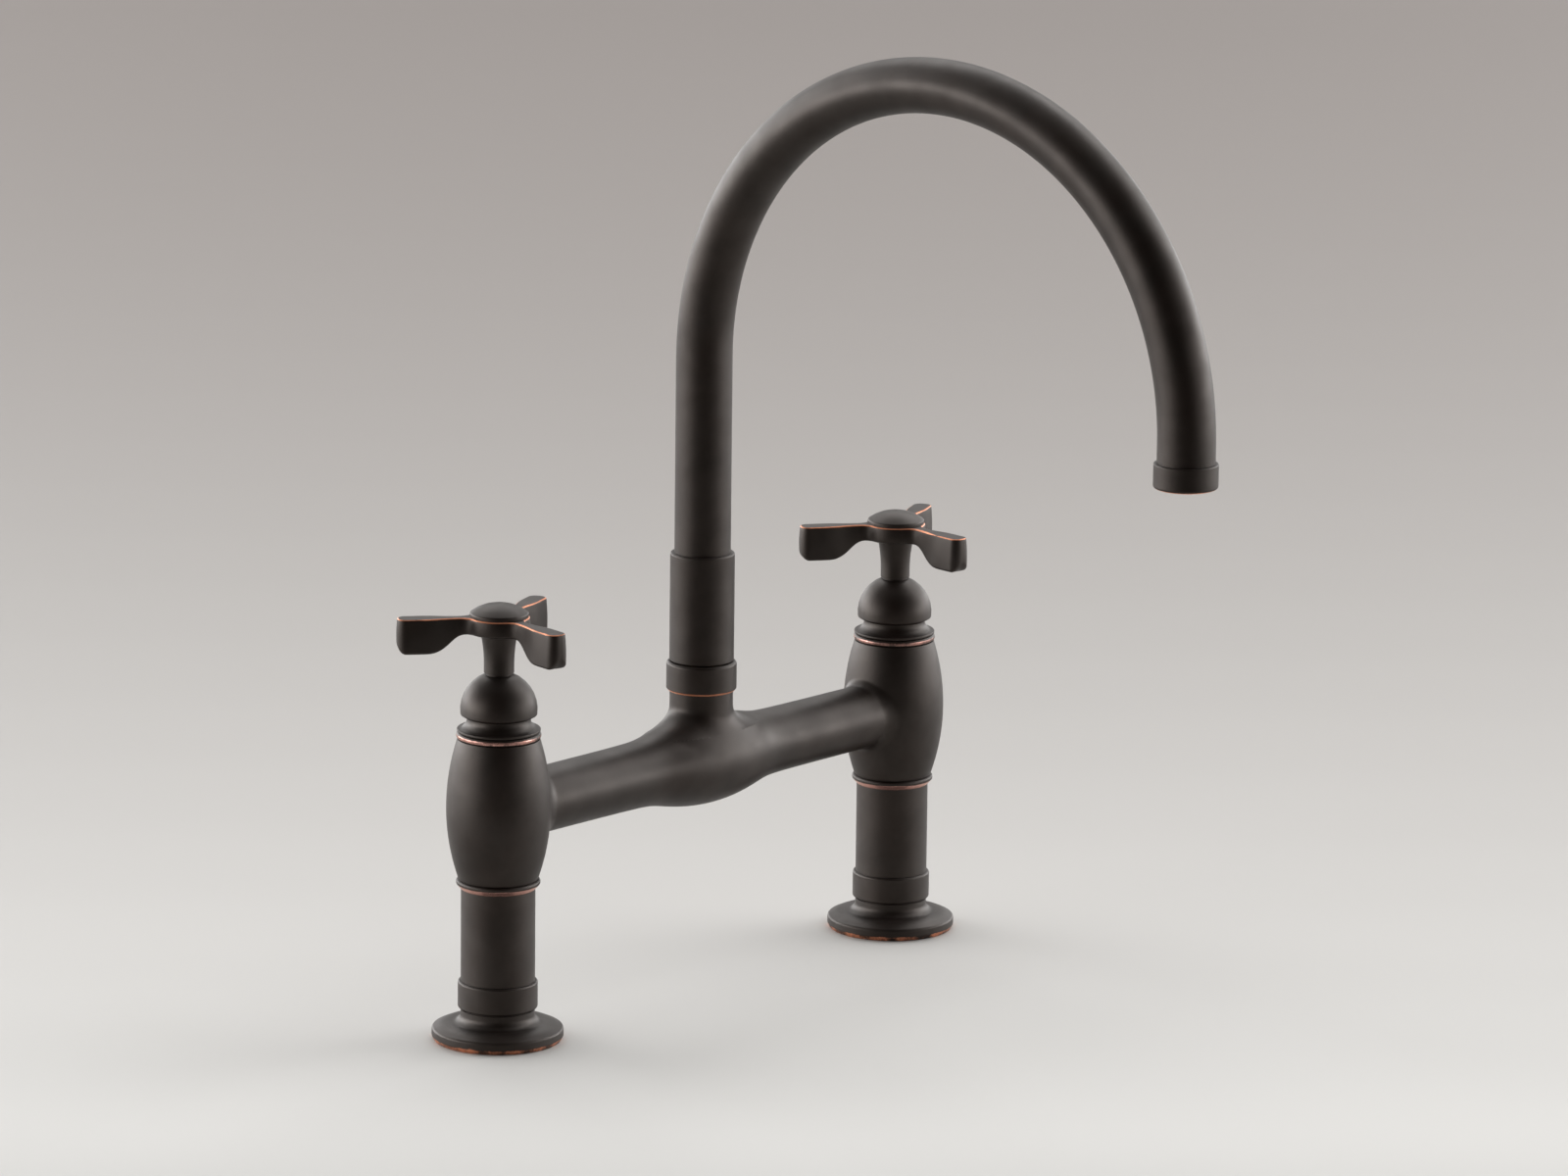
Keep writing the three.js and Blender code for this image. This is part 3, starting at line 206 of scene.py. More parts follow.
# Spout
SPOUT_STATIONS = 150
SPOUT_WALL = 1.2
BEND_SQUEEZE = 0.035  # how much thinner the tube is in the bend's plane

# Under the deck
THREAD_PITCH = 1.814
THREAD_DEPTH = 0.9
THREAD_ROWS = 8  # in one pitch
THREAD_SIDES = 48
THREAD_TOP = -2.0  # the thread stops under the flange
THREAD_FLANK = 1.2  # steeper than a plain zigzag
THREAD_CREST = 0.1  # flat at the crests
SHANK_BORE = 6.5
NUT_CHAMFER = 1.2
NUT_CHAMFER_STEPS = 6
NUT_FACE_INSET = 0.3  # the round face inside the hexagon's flats
NUT_BORE_CHAMFER = 0.8
WASHER_ROUND = 0.3


@functools.cache
def place(node):
    """Axis, outer radius, base and top of an upright CAD node, in millimetres."""
    low, high = (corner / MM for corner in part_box(node))
    radius = (high.y - low.y) / 2
    return Vector(((low.x + high.x) / 2, (low.y + high.y) / 2)), radius, low.z, high.z


def sized(node):
    """The node's name, outer radius, base and top, in millimetres."""
    return node, *place(node)[1:]


def axis_of(node):
    """The upright axis that a piece is turned about. All of a valve's pieces share the leg's."""
    side = node.split("_")[0]
    return place(side + "_leg_tube" if side in SIDES else node)[0]


def shank_hole(side):
    """Radius of the hole round a side's shank."""
    return place(side + "_shank")[1] + CLEARANCE


# ---- Outlines ----
# An outline is a list of (radius, level) corners that runs up the outside and down the bore. A
# third number in a corner is its rounding.

def arc(centre, radius, start, end):
    """Points of an arc, between two angles in degrees."""
    steps = max(2, math.ceil(abs(math.radians(end - start)) / ARC_STEP))
    angles = np.radians(np.linspace(start, end, steps + 1))
    return [(centre[0] + radius * math.cos(a), centre[1] + radius * math.sin(a)) for a in angles]


def rounded(corners):
    """The outline with each corner that has a rounding turned into an arc."""
    points = []
    for i, (r, z, *rounding) in enumerate(corners):
        if not rounding:
            points.append((r, z))
            continue
        corner = complex(r, z)
        back = complex(*corners[i - 1][:2]) - corner
        on = complex(*corners[(i + 1) % len(corners)][:2]) - corner
        half = abs(np.angle(on / back)) / 2
        trim = min(rounding[0] / math.tan(half), TRIM_LIMIT * abs(back), TRIM_LIMIT * abs(on))
        start, end = corner + trim * back / abs(back), corner + trim * on / abs(on)
        inward = (start + end) / 2 - corner
        centre = corner + inward / abs(inward) * trim / math.cos(half)
        turn = np.angle((end - centre) / (start - centre))
        steps = max(2, math.ceil(abs(turn) / ARC_STEP))
        for step in range(steps + 1):
            point = centre + (start - centre) * np.exp(1j * turn * step / steps)
            points.append((point.real, point.imag))
    return points


def bow(start, end, rise, steps=8):
    """Points between two corners on a curve that stands out by rise to the right of the way."""
    start, end = np.array(start), np.array(end)
    way = end - start
    aside = np.array((way[1], -way[0])) / np.linalg.norm(way)
    shares = np.linspace(0, 1, steps + 1)
    return [tuple(start + way * s + aside * rise * 4 * s * (1 - s)) for s in shares]


def swell(level, narrow, narrow_level, wide, wide_level):
    """Radius on the arc from a narrow end to the widest point, where the arc runs upright."""
    rise, drop = wide_level - narrow_level, wide - narrow
    radius = (rise**2 + drop**2) / (2 * drop)
    return wide - radius + np.sqrt(radius**2 - (wide_level - level) ** 2)


# ---- Meshes ----

def mesh_piece(name, points, faces, wear=None, normals=None):
    """A smooth mesh object. wear runs from 0, whole, to 1, rubbed through."""
    mesh = bpy.data.meshes.new(name)
    mesh.from_pydata(np.asarray(points) * MM, [], faces)
    attribute = mesh.attributes.new("wear", "FLOAT", "POINT")
    if wear is not None:
        attribute.data.foreach_set("value", np.asarray(wear, np.float32))
    mesh.shade_smooth()
    piece = bpy.data.objects.new(name, mesh)
    bpy.context.scene.collection.objects.link(piece)
    if normals is not None:
        mesh.normals_split_custom_set_from_vertices(normals)
        return piece
    mesh.set_sharp_from_angle(angle=SHARP_ANGLE)
    weighted = piece.modifiers.new("even shading", "WEIGHTED_NORMAL")
    weighted.keep_sharp = True
    return piece


def grid_faces(rows, columns, first=0, closed_rows=False):
    """Quads between rows of points, each row a closed loop."""
    faces = []
    for row in range(rows if closed_rows else rows - 1):
        above = (row + 1) % rows
        for column in range(columns):
            beside = (column + 1) % columns
            corners = (row, column), (row, beside), (above, beside), (above, column)
            faces.append([first + r * columns + c for r, c in corners])
    return faces


def turned(outline, axis=(0, 0), sides=FINE_SIDES):
    """Points and faces of a ring: its outline turned about an upright axis."""
    radii, levels = (np.array(values, float) for values in zip(*outline))
    return ring_of(np.repeat(radii[:, None], sides, axis=1), levels, axis)


def ring_of(radii, levels, axis=(0, 0)):
    """Points and faces of a ring from one row of radii for each level."""
    rows, sides = radii.shape
    angles = np.linspace(0, 2 * math.pi, sides, endpoint=False)
    points = np.stack([
        axis[0] + radii * np.cos(angles),
        axis[1] + radii * np.sin(angles),
        np.repeat(np.asarray(levels)[:, None], sides, axis=1),
    ], axis=-1).reshape(-1, 3)
    return points, grid_faces(rows, sides, closed_rows=True)


def wear_of(node, points, axis):
    """Wear round the ring where a turned piece is rubbed, if it is."""
    radius, base = place(node)[1:3]
    kind = node.removeprefix("left_").removeprefix("right_")
    if kind not in RUBBED:
        return np.zeros(len(points))
    inset, level, reach, strength = RUBBED[kind]
    radii = np.hypot(points[:, 0] - axis[0], points[:, 1] - axis[1])
    away = np.hypot(radii - radius + inset, points[:, 2] - base - level)
    return strength * np.clip(2 * (1 - away / reach), 0, 1)


def finish_piece(node, points, faces, body="faucet_body", slot="bronze", **details):
    """A fine mesh that stands for a CAD node, rides on its body and takes a slot's finish."""
    piece = mesh_piece(node + "_fine", points, faces, **details)
    piece.data.materials.append(MATERIALS[slot])
    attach(piece, body)
    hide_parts(node)


def turned_piece(node, outline, **where):
    axis = axis_of(node)
    points, faces = turned(outline, axis)
    finish_piece(node, points, faces, wear=wear_of(node, points, axis), **where)


# ---- Finishes ----

class Shader:
    """A material and short ways to add nodes to it."""

    def __init__(self, name):
        self.material = bpy.data.materials.new(name)
        self.material.use_nodes = True
        self.tree = self.material.node_tree
        self.surface = self.tree.nodes["Principled BSDF"]
        self.place = self.add("TexCoord").outputs["Object"]

    def add(self, kind, settings=(), **inputs):
        node = self.tree.nodes.new("ShaderNode" + kind)
        for key, value in dict(settings).items():
            setattr(node, key, value)
        for key, value in inputs.items():
            self.set(node, key, value)
        return node

    def set(self, node, key, value):
        socket = node.inputs[key if isinstance(key, int) else key.replace("_", " ")]
        if isinstance(value, bpy.types.NodeSocket):
            self.tree.links.new(value, socket)
        else:
            socket.default_value = value

    def noise(self, size, detail=3, stretch=(1, 1, 1)):
        """Noise whose patches are about size millimetres across, from 0 to 1."""
        scale = tuple(s / (size * MM) for s in stretch)
        scaled = self.add("Mapping", Vector=self.place, Scale=scale).outputs[0]
        return self.add("TexNoise", Vector=scaled, Scale=1.0, Detail=detail).outputs["Fac"]

    def swing(self, size, weight):
        """Noise about zero."""
        return self.math("MULTIPLY", self.math("SUBTRACT", self.noise(size), 0.5), weight)

    def math(self, operation, first, second):
        node = self.add("Math", {"operation": operation})
        self.set(node, 0, first)
        self.set(node, 1, second)
        return node.outputs[0]

    def ramp(self, value, low, high, to_low=0.0, to_high=1.0):
        """The value moved softly from one range to another."""
        smooth = {"interpolation_type": "SMOOTHSTEP"}
        ends = {"From_Min": low, "From_Max": high, "To_Min": to_low, "To_Max": to_high}
        return self.add("MapRange", smooth, Value=value, **ends).outputs[0]

    def mix(self, factor, first, second):
        """Colour that goes from first to second."""
        node = self.add("Mix", {"data_type": "RGBA"})
        node.inputs[0].default_value = 0
        self.set(node, 0, factor)
        for key, colour in ((6, first), (7, second)):
            linked = isinstance(colour, bpy.types.NodeSocket)
            self.set(node, key, colour if linked else (*colour, 1))
        return node.outputs[2]

    def stops(self, value, stops):
        """Colour that runs through stops, each (share, colour), as a value goes from 0 to 1."""
        node = self.add("ValToRGB", Fac=value)
        node.color_ramp.interpolation = "CARDINAL"
        elements = node.color_ramp.elements
        while len(elements) < len(stops):
            elements.new(0.5)
        for element, (share, colour) in zip(elements, stops):
            element.position = share
            element.color = (*colour, 1)
        return node.outputs["Color"]

    def bump(self, height, depth):
        """Bump of a height from 0 to 1 that stands for depth millimetres."""
        node = self.add("Bump", Height=height, Distance=depth * MM, Strength=1.0)
        self.set(self.surface, "Normal", node.outputs[0])

    def look(self, **inputs):
        for key, value in inputs.items():
            colour = isinstance(value, tuple)
            self.set(self.surface, key, (*value, 1) if colour else value)
        return self.material


PATINA_DARK = (0.0032, 0.0013, 0.0006)
PATINA_BROWN = (0.0060, 0.0024, 0.0012)
PATINA_SHEEN = (1.0, 0.87, 0.79)
EDGE_COPPER = (0.76, 0.31, 0.17)
EDGE_COPPER_DULL = (0.50, 0.17, 0.09)
RING_COPPER = (0.56, 0.31, 0.265)
RING_COPPER_DULL = (0.36, 0.18, 0.145)
BRASS_BRIGHT = (0.74, 0.55, 0.27)
BRASS_DULL = (0.58, 0.40, 0.17)
STEEL_BRIGHT = (0.66, 0.67, 0.69)
STEEL_DULL = (0.50, 0.51, 0.53)
RUBBER_LIGHT, RUBBER_DARK = (0.022, 0.022, 0.023), (0.012, 0.012, 0.013)
CERAMIC_LIGHT, CERAMIC_DARK = (0.83, 0.81, 0.76), (0.78, 0.75, 0.69)
NYLON_LIGHT, NYLON_DARK = (0.70, 0.66, 0.56), (0.62, 0.58, 0.48)

# Sizes and depths in millimetres. A pair is the low and the high end of a range.
PATCH_SIZE, PATCH_WEIGHT = 6.0, 0.8  # patches and specks break up the edge of the bare copper
SPECK_SIZE, SPECK_WEIGHT = 0.8, 0.3
BARE = (0.46, 0.78)  # wear where copper starts to show and where it lies bare
WORN = (0.05, 0.4)  # below this nothing shows, whatever the noise says
SOFT, WIDE = (0.3, 0.7), (0.2, 0.8)  # part of the noise that a soft step runs over
CLOUD_SIZE, COPPER_SIZE, SATIN_SIZE, SHEEN_SIZE = 14.0, 2.2, 9.0, 11.0
SATIN, SHEEN = (0.45, 0.51), (0.39, 0.49)
POLISH = 0.3  # how much smoother bare copper is
GRAIN_SIZE, GRAIN_DEPTH = 0.22, 0.004
TOOL_PITCH, TOOL_DEPTH, TOOL_STRETCH = 0.5, 0.012, (0.02, 0.02, 1)
STAIN_SIZE, STAIN_SWING = 6.0, 0.06
MOULD_CLOUDS, DUST_SIZE, DUST_SWING = 4.0, 1.5, 0.05


def oil_rubbed(name, wear_shift, bright, dull, gloss):
    """Satin bronze under a near black patina, rubbed through to copper where the mesh says so.

    gloss is the share of the bare copper that mirrors; the rest is chalky.
    """
    shader = Shader(name)
    wear = shader.add("Attribute", {"attribute_name": "wear"}).outputs["Fac"]
    patches = shader.swing(PATCH_SIZE, PATCH_WEIGHT)
    specks = shader.swing(SPECK_SIZE, SPECK_WEIGHT)
    ragged = shader.math("ADD", shader.math("ADD", wear, patches), specks)
    rubbed = shader.ramp(ragged, *(end - wear_shift for end in BARE))
    rubbed = shader.math("MULTIPLY", rubbed, shader.ramp(wear, *WORN))
    clouds = shader.ramp(shader.noise(CLOUD_SIZE, detail=4), *SOFT)
    patina = shader.mix(clouds, PATINA_DARK, PATINA_BROWN)
    copper = shader.mix(shader.noise(COPPER_SIZE), dull, bright)
    satin = shader.ramp(shader.noise(SATIN_SIZE), *WIDE, *SATIN)
    polished = shader.math("MULTIPLY", rubbed, POLISH * gloss)
    satin = shader.math("SUBTRACT", satin, polished)
    sheen = shader.ramp(shader.noise(SHEEN_SIZE, detail=4), *SOFT, *SHEEN)
    shader.bump(shader.noise(GRAIN_SIZE, detail=2), GRAIN_DEPTH)
    return shader.look(
        Base_Color=shader.mix(rubbed, patina, copper), Roughness=satin,
        Metallic=shader.math("MULTIPLY", rubbed, gloss),
        Specular_IOR_Level=sheen, Specular_Tint=PATINA_SHEEN,
    )


def machined(name, bright, dull, roughness):
    """Bare turned metal: fine rings from the tool and soft stains."""
    shader = Shader(name)
    rings = shader.noise(TOOL_PITCH, detail=2, stretch=TOOL_STRETCH)
    stains = shader.ramp(shader.noise(STAIN_SIZE), *SOFT)
    shader.bump(rings, TOOL_DEPTH)
    gloss = shader.ramp(rings, *WIDE, roughness - STAIN_SWING, roughness + STAIN_SWING)
    return shader.look(Base_Color=shader.mix(stains, dull, bright), Roughness=gloss, Metallic=1.0)


def moulded(name, light, dark, roughness, grain_size, grain_depth):
    """Rubber, plastic or ceramic: a matte body with a fine skin."""
    shader = Shader(name)
    clouds = shader.ramp(shader.noise(MOULD_CLOUDS), *SOFT)
    shader.bump(shader.noise(grain_size, detail=2), grain_depth)
    around = roughness - DUST_SWING, roughness + DUST_SWING
    dusty = shader.ramp(shader.noise(DUST_SIZE), *SOFT, *around)
    return shader.look(Base_Color=shader.mix(clouds, dark, light), Roughness=dusty)


MATERIALS = {
    "bronze": oil_rubbed("oil_rubbed_bronze", 0.0, EDGE_COPPER, EDGE_COPPER_DULL, 0.5),
    "worn_copper": oil_rubbed("rubbed_copper", 0.12, RING_COPPER, RING_COPPER_DULL, 0.8),
    "raw_brass": machined("raw_brass", BRASS_BRIGHT, BRASS_DULL, 0.3),
    "steel": machined("plain_steel", STEEL_BRIGHT, STEEL_DULL, 0.34),
    "rubber": moulded("black_rubber", RUBBER_LIGHT, RUBBER_DARK, 0.75, 0.3, 0.01),
    "ceramic": moulded("valve_ceramic", CERAMIC_LIGHT, CERAMIC_DARK, 0.25, 0.15, 0.002),
    "nylon": moulded("pale_nylon", NYLON_LIGHT, NYLON_DARK, 0.5, 0.4, 0.006),
}


def dress_cad_nodes():
    """Gives every CAD node the finish of the slot that its own material is named after."""
    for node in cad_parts.values():
        slot = next(slot for slot in MATERIALS if node.data.materials[0].name.startswith(slot))
        node.data.materials[0] = MATERIALS[slot]


# ---- Valve stacks ----

def flange_piece(side):
    node, radius, base, top = sized(side + "_deck_flange")
    leg = place(side + "_leg_tube")[1]
    hole = shank_hole(side)
    recess = radius - GASKET_INSET
    cove = (leg + FLANGE_COVE, FLANGE_SHOULDER + FLANGE_COVE)
    crown_foot = (radius - FLANGE_CROWN_INSET, FLANGE_CROWN_FOOT)
    turned_piece(node, rounded([
        (recess, base), (radius - FLANGE_FOOT_INSET, base, FLANGE_FOOT_ROUND),
        (radius, base + FLANGE_FOOT_HEIGHT, FLANGE_RIM_LOW),
        (radius, FLANGE_RIM_TOP, FLANGE_RIM_HIGH),
        *bow(crown_foot, (cove[0], FLANGE_SHOULDER), FLANGE_CROWN_BOW),
        *arc(cove, FLANGE_COVE, 270, 180), (leg, top), (hole, top),
        (hole, GASKET_RECESS), (recess, GASKET_RECESS),
    ]))


def collar_piece(side):
    node, radius, base, top = sized(side + "_leg_collar")
    leg = place(side + "_leg_tube")[1]
    hole = shank_hole(side)
    groove = base + COLLAR_GROOVE
    turned_piece(node, rounded([
        (hole, base), (leg - COLLAR_GROOVE, base), (leg - COLLAR_GROOVE, groove),
        (radius, groove, COLLAR_LOW_ROUND), (radius, top, COLLAR_TOP_ROUND), (hole, top),
    ]))


def leg_piece(side):
    node, radius, base, top = sized(side + "_leg_tube")
    hole = shank_hole(side)
    turned_piece(node, [(hole, base), (radius, base), (radius, top), (hole, top)])


def lower_ring_piece(side):
    """Dark bead over a copper face that slopes in to the leg."""
    node, radius, base, top = sized(side + "_lower_trim_ring")
    leg = place(side + "_leg_tube")[1]
    hole = shank_hole(side)
    turned_piece(node, rounded([
        (hole, base), (leg + BEAD_FOOT_STEP, base, BEAD_FOOT_ROUND),
        (radius, base + BEAD_LOW, BEAD_LOW_ROUND), (radius, top - BEAD_TOP_DROP, BEAD_TOP_ROUND),
        (leg + BEAD_TOP_STEP, top, BEAD_TOP_DROP), (hole, top),
    ]), slot="worn_copper")


def barrel_radius(side, level):
    """Radius of a barrel's outside at a level: two arcs that meet upright at the belly."""
    _, belly, base, top = sized(side + "_valve_barrel")
    widest = base + BELLY_SHARE * (top - base)
    foot = place(side + "_leg_tube")[1] + BARREL_FOOT_STEP
    below = swell(level, foot, base, belly, widest)
    above = swell(level, foot + BARREL_TOP_STEP, top, belly, widest)
    return np.where(level < widest, below, above)


def barrel_piece(side):
    node, _, base, top = sized(side + "_valve_barrel")
    levels = np.linspace(base, top, BARREL_STEPS + 1)
    outside = list(zip(barrel_radius(side, levels), levels))
    shank_top = place(side + "_shank")[3]
    hole = shank_hole(side)
    seat = place(side + "_cartridge_seat_seal")[2]
    cavity = place(side + "_cartridge_body")[1] + CLEARANCE
    turned_piece(node, outside + [
        (cavity, top), (cavity, seat), (INLET_RADIUS, seat), (INLET_RADIUS, shank_top),
        (hole, shank_top), (hole, base),
    ])


def upper_ring_piece(side):
    """Half round copper bead, dark along its upper and lower edges."""
    node, radius, base, top = sized(side + "_upper_trim_ring")
    half = (top - base) / 2
    hole = radius - UPPER_RING_DEPTH
    bead = arc((radius - half, base + half), half, -90, 90)
    turned_piece(node, [(hole, base), *bead, (hole, top)], slot="worn_copper")


def bonnet_piece(side):
    node, radius, base, top = sized(side + "_bonnet")
    neck = radius - BONNET_COVE
    cove_level = base + LIP_HEIGHT + BONNET_COVE
    neck_top = base + BONNET_NECK_TOP
    centre = base + DOME_CENTRE
    edge = -math.degrees(math.asin(DOME_EDGE_DROP / DOME_RADIUS))
    crown = math.degrees(math.acos((NOSE_RADIUS + NOSE_STEP) / DOME_RADIUS))
    dome = arc((0, centre), DOME_RADIUS, edge, crown)
    inside, nose_top = place(side + "_gland_nut")[3] + BONNET_ROOF, top + NOSE_LIFT
    turned_piece(node, rounded([
        (neck - BONNET_WALL, base), (radius, base, LIP_ROUND),
        (radius, base + LIP_HEIGHT, LIP_ROUND),
        *arc((radius, cove_level), BONNET_COVE, BONNET_COVE_START, 180), (neck, neck_top),
        (neck + DOME_EDGE_STEP, neck_top, DOME_FOOT_ROUND),
        (*dome[0], DOME_EDGE_ROUND), *dome[1:],
        (NOSE_RADIUS, dome[-1][1]), (NOSE_RADIUS, nose_top),
        (SPINDLE_HOLE, nose_top), (SPINDLE_HOLE, inside), (neck - BONNET_WALL, inside),
    ]))


# ---- Handles ----

def bezier(points, steps=24):
    a, b, c, d = (np.array(point, float) for point in points)
    shares = np.linspace(0, 1, steps + 1)[:, None]
    rest = 1 - shares
    return a * rest**3 + 3 * b * rest**2 * shares + 3 * c * rest * shares**2 + d * shares**3


def even_loop(points, pitch):
    """The closed loop of points again, spaced evenly."""
    points = np.array(points)
    ends = np.roll(points, -1, axis=0)
    lengths = np.hypot(*(ends - points).T)
    along = np.concatenate([[0], np.cumsum(lengths)])
    count = round(along[-1] / pitch)
    wanted = np.linspace(0, along[-1], count, endpoint=False)
    looped = np.vstack([points, points[:1]])
    return np.column_stack([np.interp(wanted, along, looped[:, i]) for i in (0, 1)])


def handle_plan():
    """Outline of hub and prongs from above, anticlockwise, first prong along +X."""
    fillet_at = math.sqrt((HUB_RADIUS + PRONG_FILLET) ** 2 - (PRONG_NECK + PRONG_FILLET) ** 2)
    hub_angle = math.degrees(math.atan2(PRONG_NECK + PRONG_FILLET, fillet_at))
    flare_end = PRONG_REACH - 2 * PRONG_TIP
    middle = (fillet_at + flare_end) / 2
    tip = (PRONG_REACH - PRONG_TIP_ROUND, PRONG_TIP - PRONG_TIP_ROUND)
    flare = bezier([
        (flare_end, PRONG_TIP), (middle, PRONG_TIP), (middle, PRONG_NECK), (fillet_at, PRONG_NECK),
    ])
    upper = [
        *arc(tip, PRONG_TIP_ROUND, 0, 90),
        *map(tuple, flare),
        *arc((fillet_at, PRONG_NECK + PRONG_FILLET), PRONG_FILLET, 270, 180 + hub_angle)[1:],
        *arc((0, 0), HUB_RADIUS, hub_angle, 180 / PRONG_COUNT)[1:],
    ]
    lower = [(x, -y) for x, y in reversed(upper[:-1])]
    prong = np.array(lower + upper) @ np.array([1, 1j])
    turns = np.exp(2j * math.pi * np.arange(PRONG_COUNT) / PRONG_COUNT)
    loop = np.concatenate([prong * turn for turn in turns])
    return even_loop(np.column_stack([loop.real, loop.imag]), OUTLINE_PITCH)


def along_prong(points):
    """How far out each point lies along the prong that it is nearest to."""
    flat = points @ np.array([1, 1j])
    turns = np.exp(-2j * math.pi * np.arange(PRONG_COUNT) / PRONG_COUNT)
    return np.max([(flat * turn).real for turn in turns], axis=0)


def underside(points, top):
    """Level of the handle's underside: flat under the hub, then an S curve down to a round tip."""
    base, low = top - HUB_THICKNESS, top - PRONG_DEPTH
    middle = (HUB_RADIUS + PRONG_NECK_LENGTH + PRONG_REACH - 2 * PRONG_TIP) / 2
    bend = middle - DROP_LEAD
    curve = bezier([(HUB_RADIUS, base), (bend, base), (bend, low), (middle + DROP_END, low)])
    out = along_prong(points)
    past = np.clip(out - (PRONG_REACH - PRONG_TIP_ROUND), 0, PRONG_TIP_ROUND)
    tip_rise = PRONG_TIP_ROUND - np.sqrt(PRONG_TIP_ROUND**2 - past**2)
    return np.interp(out, curve[:, 0], curve[:, 1]) + tip_rise


def inset(loop, distance):
    ahead, behind = np.roll(loop, -1, axis=0), np.roll(loop, 1, axis=0)
    way = ahead - behind
    outward = np.column_stack([way[:, 1], -way[:, 0]]) / np.linalg.norm(way, axis=1)[:, None]
    return loop - outward * distance


def filled(loop, pitch):
    """Triangles inside a loop with even points between. Returns the added points and the faces."""
    low, high = loop.min(0), loop.max(0)
    xs, ys = np.meshgrid(*(np.arange(low[i], high[i], pitch) for i in (0, 1)))
    spread = np.column_stack([xs.ravel(), ys.ravel()])
    away = np.abs(spread[:, None] - loop[None]).max(2).min(1)
    spread = spread[away > LID_MARGIN * pitch]
    corners = [Vector(point) for point in np.vstack([loop, spread])]
    edges = [(i, (i + 1) % len(loop)) for i in range(len(loop))]
    points, _, faces, _, _, _ = delaunay_2d_cdt(corners, edges, [], 1, 1e-6)
    # Points outside the loop carry no face and go.
    kept = np.concatenate([np.arange(len(loop)), np.ravel(faces)])
    used, numbers = np.unique(kept, return_inverse=True)
    return np.array(points)[used], numbers[len(loop):].reshape(-1, 3)


def handle_rows(plan, top):
    """Rows round the handle from its underside up to its top face, each (loop, level, wear)."""
    quarter = np.linspace(0, math.pi / 2, EDGE_STEPS + 1)
    out = along_prong(plan)
    rubbed = 1 - TIP_KEEPS * np.clip((out - HUB_RADIUS) / (PRONG_REACH - HUB_RADIUS), 0, 1)
    foot = underside(plan, top)
    rows = []

    def add(inward, level, worn=0.0):
        level = np.broadcast_to(level, len(plan))
        share = (level - foot) / (top - foot)
        lean = SIDE_LEAN * (level - top + PRONG_DEPTH) / PRONG_DEPTH
        hollow = SIDE_BULGE * (2 * share - 1) ** 2
        loop = inset(plan, (inward + lean + hollow)[:, None])
        rows.append((loop, level, worn * rubbed))

    for turn in quarter:
        rise = LOWER_EDGE_ROUND * (1 - math.cos(turn))
        under = underside(inset(plan, LOWER_EDGE_ROUND * (1 - math.sin(turn))), top)
        add(LOWER_EDGE_ROUND * (1 - math.sin(turn)), under + rise)
    upper = top - TOP_EDGE_ROUND
    for share in SIDE_ROWS:
        add(0, foot + LOWER_EDGE_ROUND + (upper - foot - LOWER_EDGE_ROUND) * share)
    for turn in quarter:
        worn = math.sin(2 * turn) ** RUBBED_SPREAD if 0 < turn < math.pi / 2 else 0
        add(TOP_EDGE_ROUND * (1 - math.cos(turn)), upper + TOP_EDGE_ROUND * math.sin(turn), worn)
    add(TOP_EDGE_ROUND + TOP_ROW_INSET, top)
    return rows


def handle_mesh(top):
    """Points, faces and wear of the hub and its prongs about their own axis."""
    plan = handle_plan()
    count = len(plan)
    rows = handle_rows(plan, top)
    points = np.vstack([np.column_stack([loop, level]) for loop, level, _ in rows])
    wear = np.concatenate([worn for _, _, worn in rows])
    faces = grid_faces(len(rows), count)
    lids = (
        (0, lambda flat: underside(flat, top)),
        (len(rows) - 1, lambda flat: np.full(len(flat), top)),
    )
    for row, level_of in lids:
        flat, triangles = filled(rows[row][0], LID_PITCH)
        on_row, added = row * count + np.arange(count), len(points) + np.arange(len(flat) - count)
        number = np.concatenate([on_row, added])
        order = slice(None, None, -1) if row == 0 else slice(None)
        faces += [number[face][order].tolist() for face in triangles]
        points = np.vstack([points, np.column_stack([flat, level_of(flat)])[count:]])
        wear = np.concatenate([wear, np.zeros(len(flat) - count)])
    return points, faces, wear


def handle_sleeve(foot, hub):
    """Outline of the sleeve from its foot up into the hub."""
    start, low_bend, high_bend = (foot + share * (hub - foot) for share in SLEEVE_FLARE)
    flare = bezier([
        (SLEEVE_FOOT, start), (SLEEVE_FOOT, low_bend), (SLEEVE_HEAD - SLEEVE_HEAD_DRAW, high_bend),
        (SLEEVE_HEAD, hub - SLEEVE_HEAD_STEP),
    ], SLEEVE_FLARE_STEPS)
    widest = SLEEVE_HEAD + SLEEVE_HEAD_STEP
    cone_end, sleeve_end = (hub + sink for sink in SLEEVE_SINK)
    return rounded([
        (SPINDLE_HOLE, foot), (SLEEVE_FOOT, foot, SLEEVE_FOOT_ROUND), *map(tuple, flare),
        (widest, cone_end), (widest, sleeve_end), (SPINDLE_HOLE, sleeve_end),
    ])


def handle_piece(side):
    node = side + "_handle"
    low, high = (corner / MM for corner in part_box(node))
    axis = axis_of(node)
    points, faces, wear = handle_mesh(high.z)
    sleeve_points, sleeve_faces = turned(handle_sleeve(low.z, high.z - HUB_THICKNESS))
    faces += [[len(points) + i for i in face] for face in sleeve_faces]
    points = np.vstack([points, sleeve_points])
    wear = np.concatenate([wear, np.zeros(len(sleeve_points))])
    turn = np.array(Matrix.Rotation(math.radians(HANDLE_ANGLES[side]), 3, "Z"))
    points = points @ turn.T + np.array([axis.x, axis.y, 0])
    finish_piece(node, points, faces, side + "_handle_set", wear=wear)


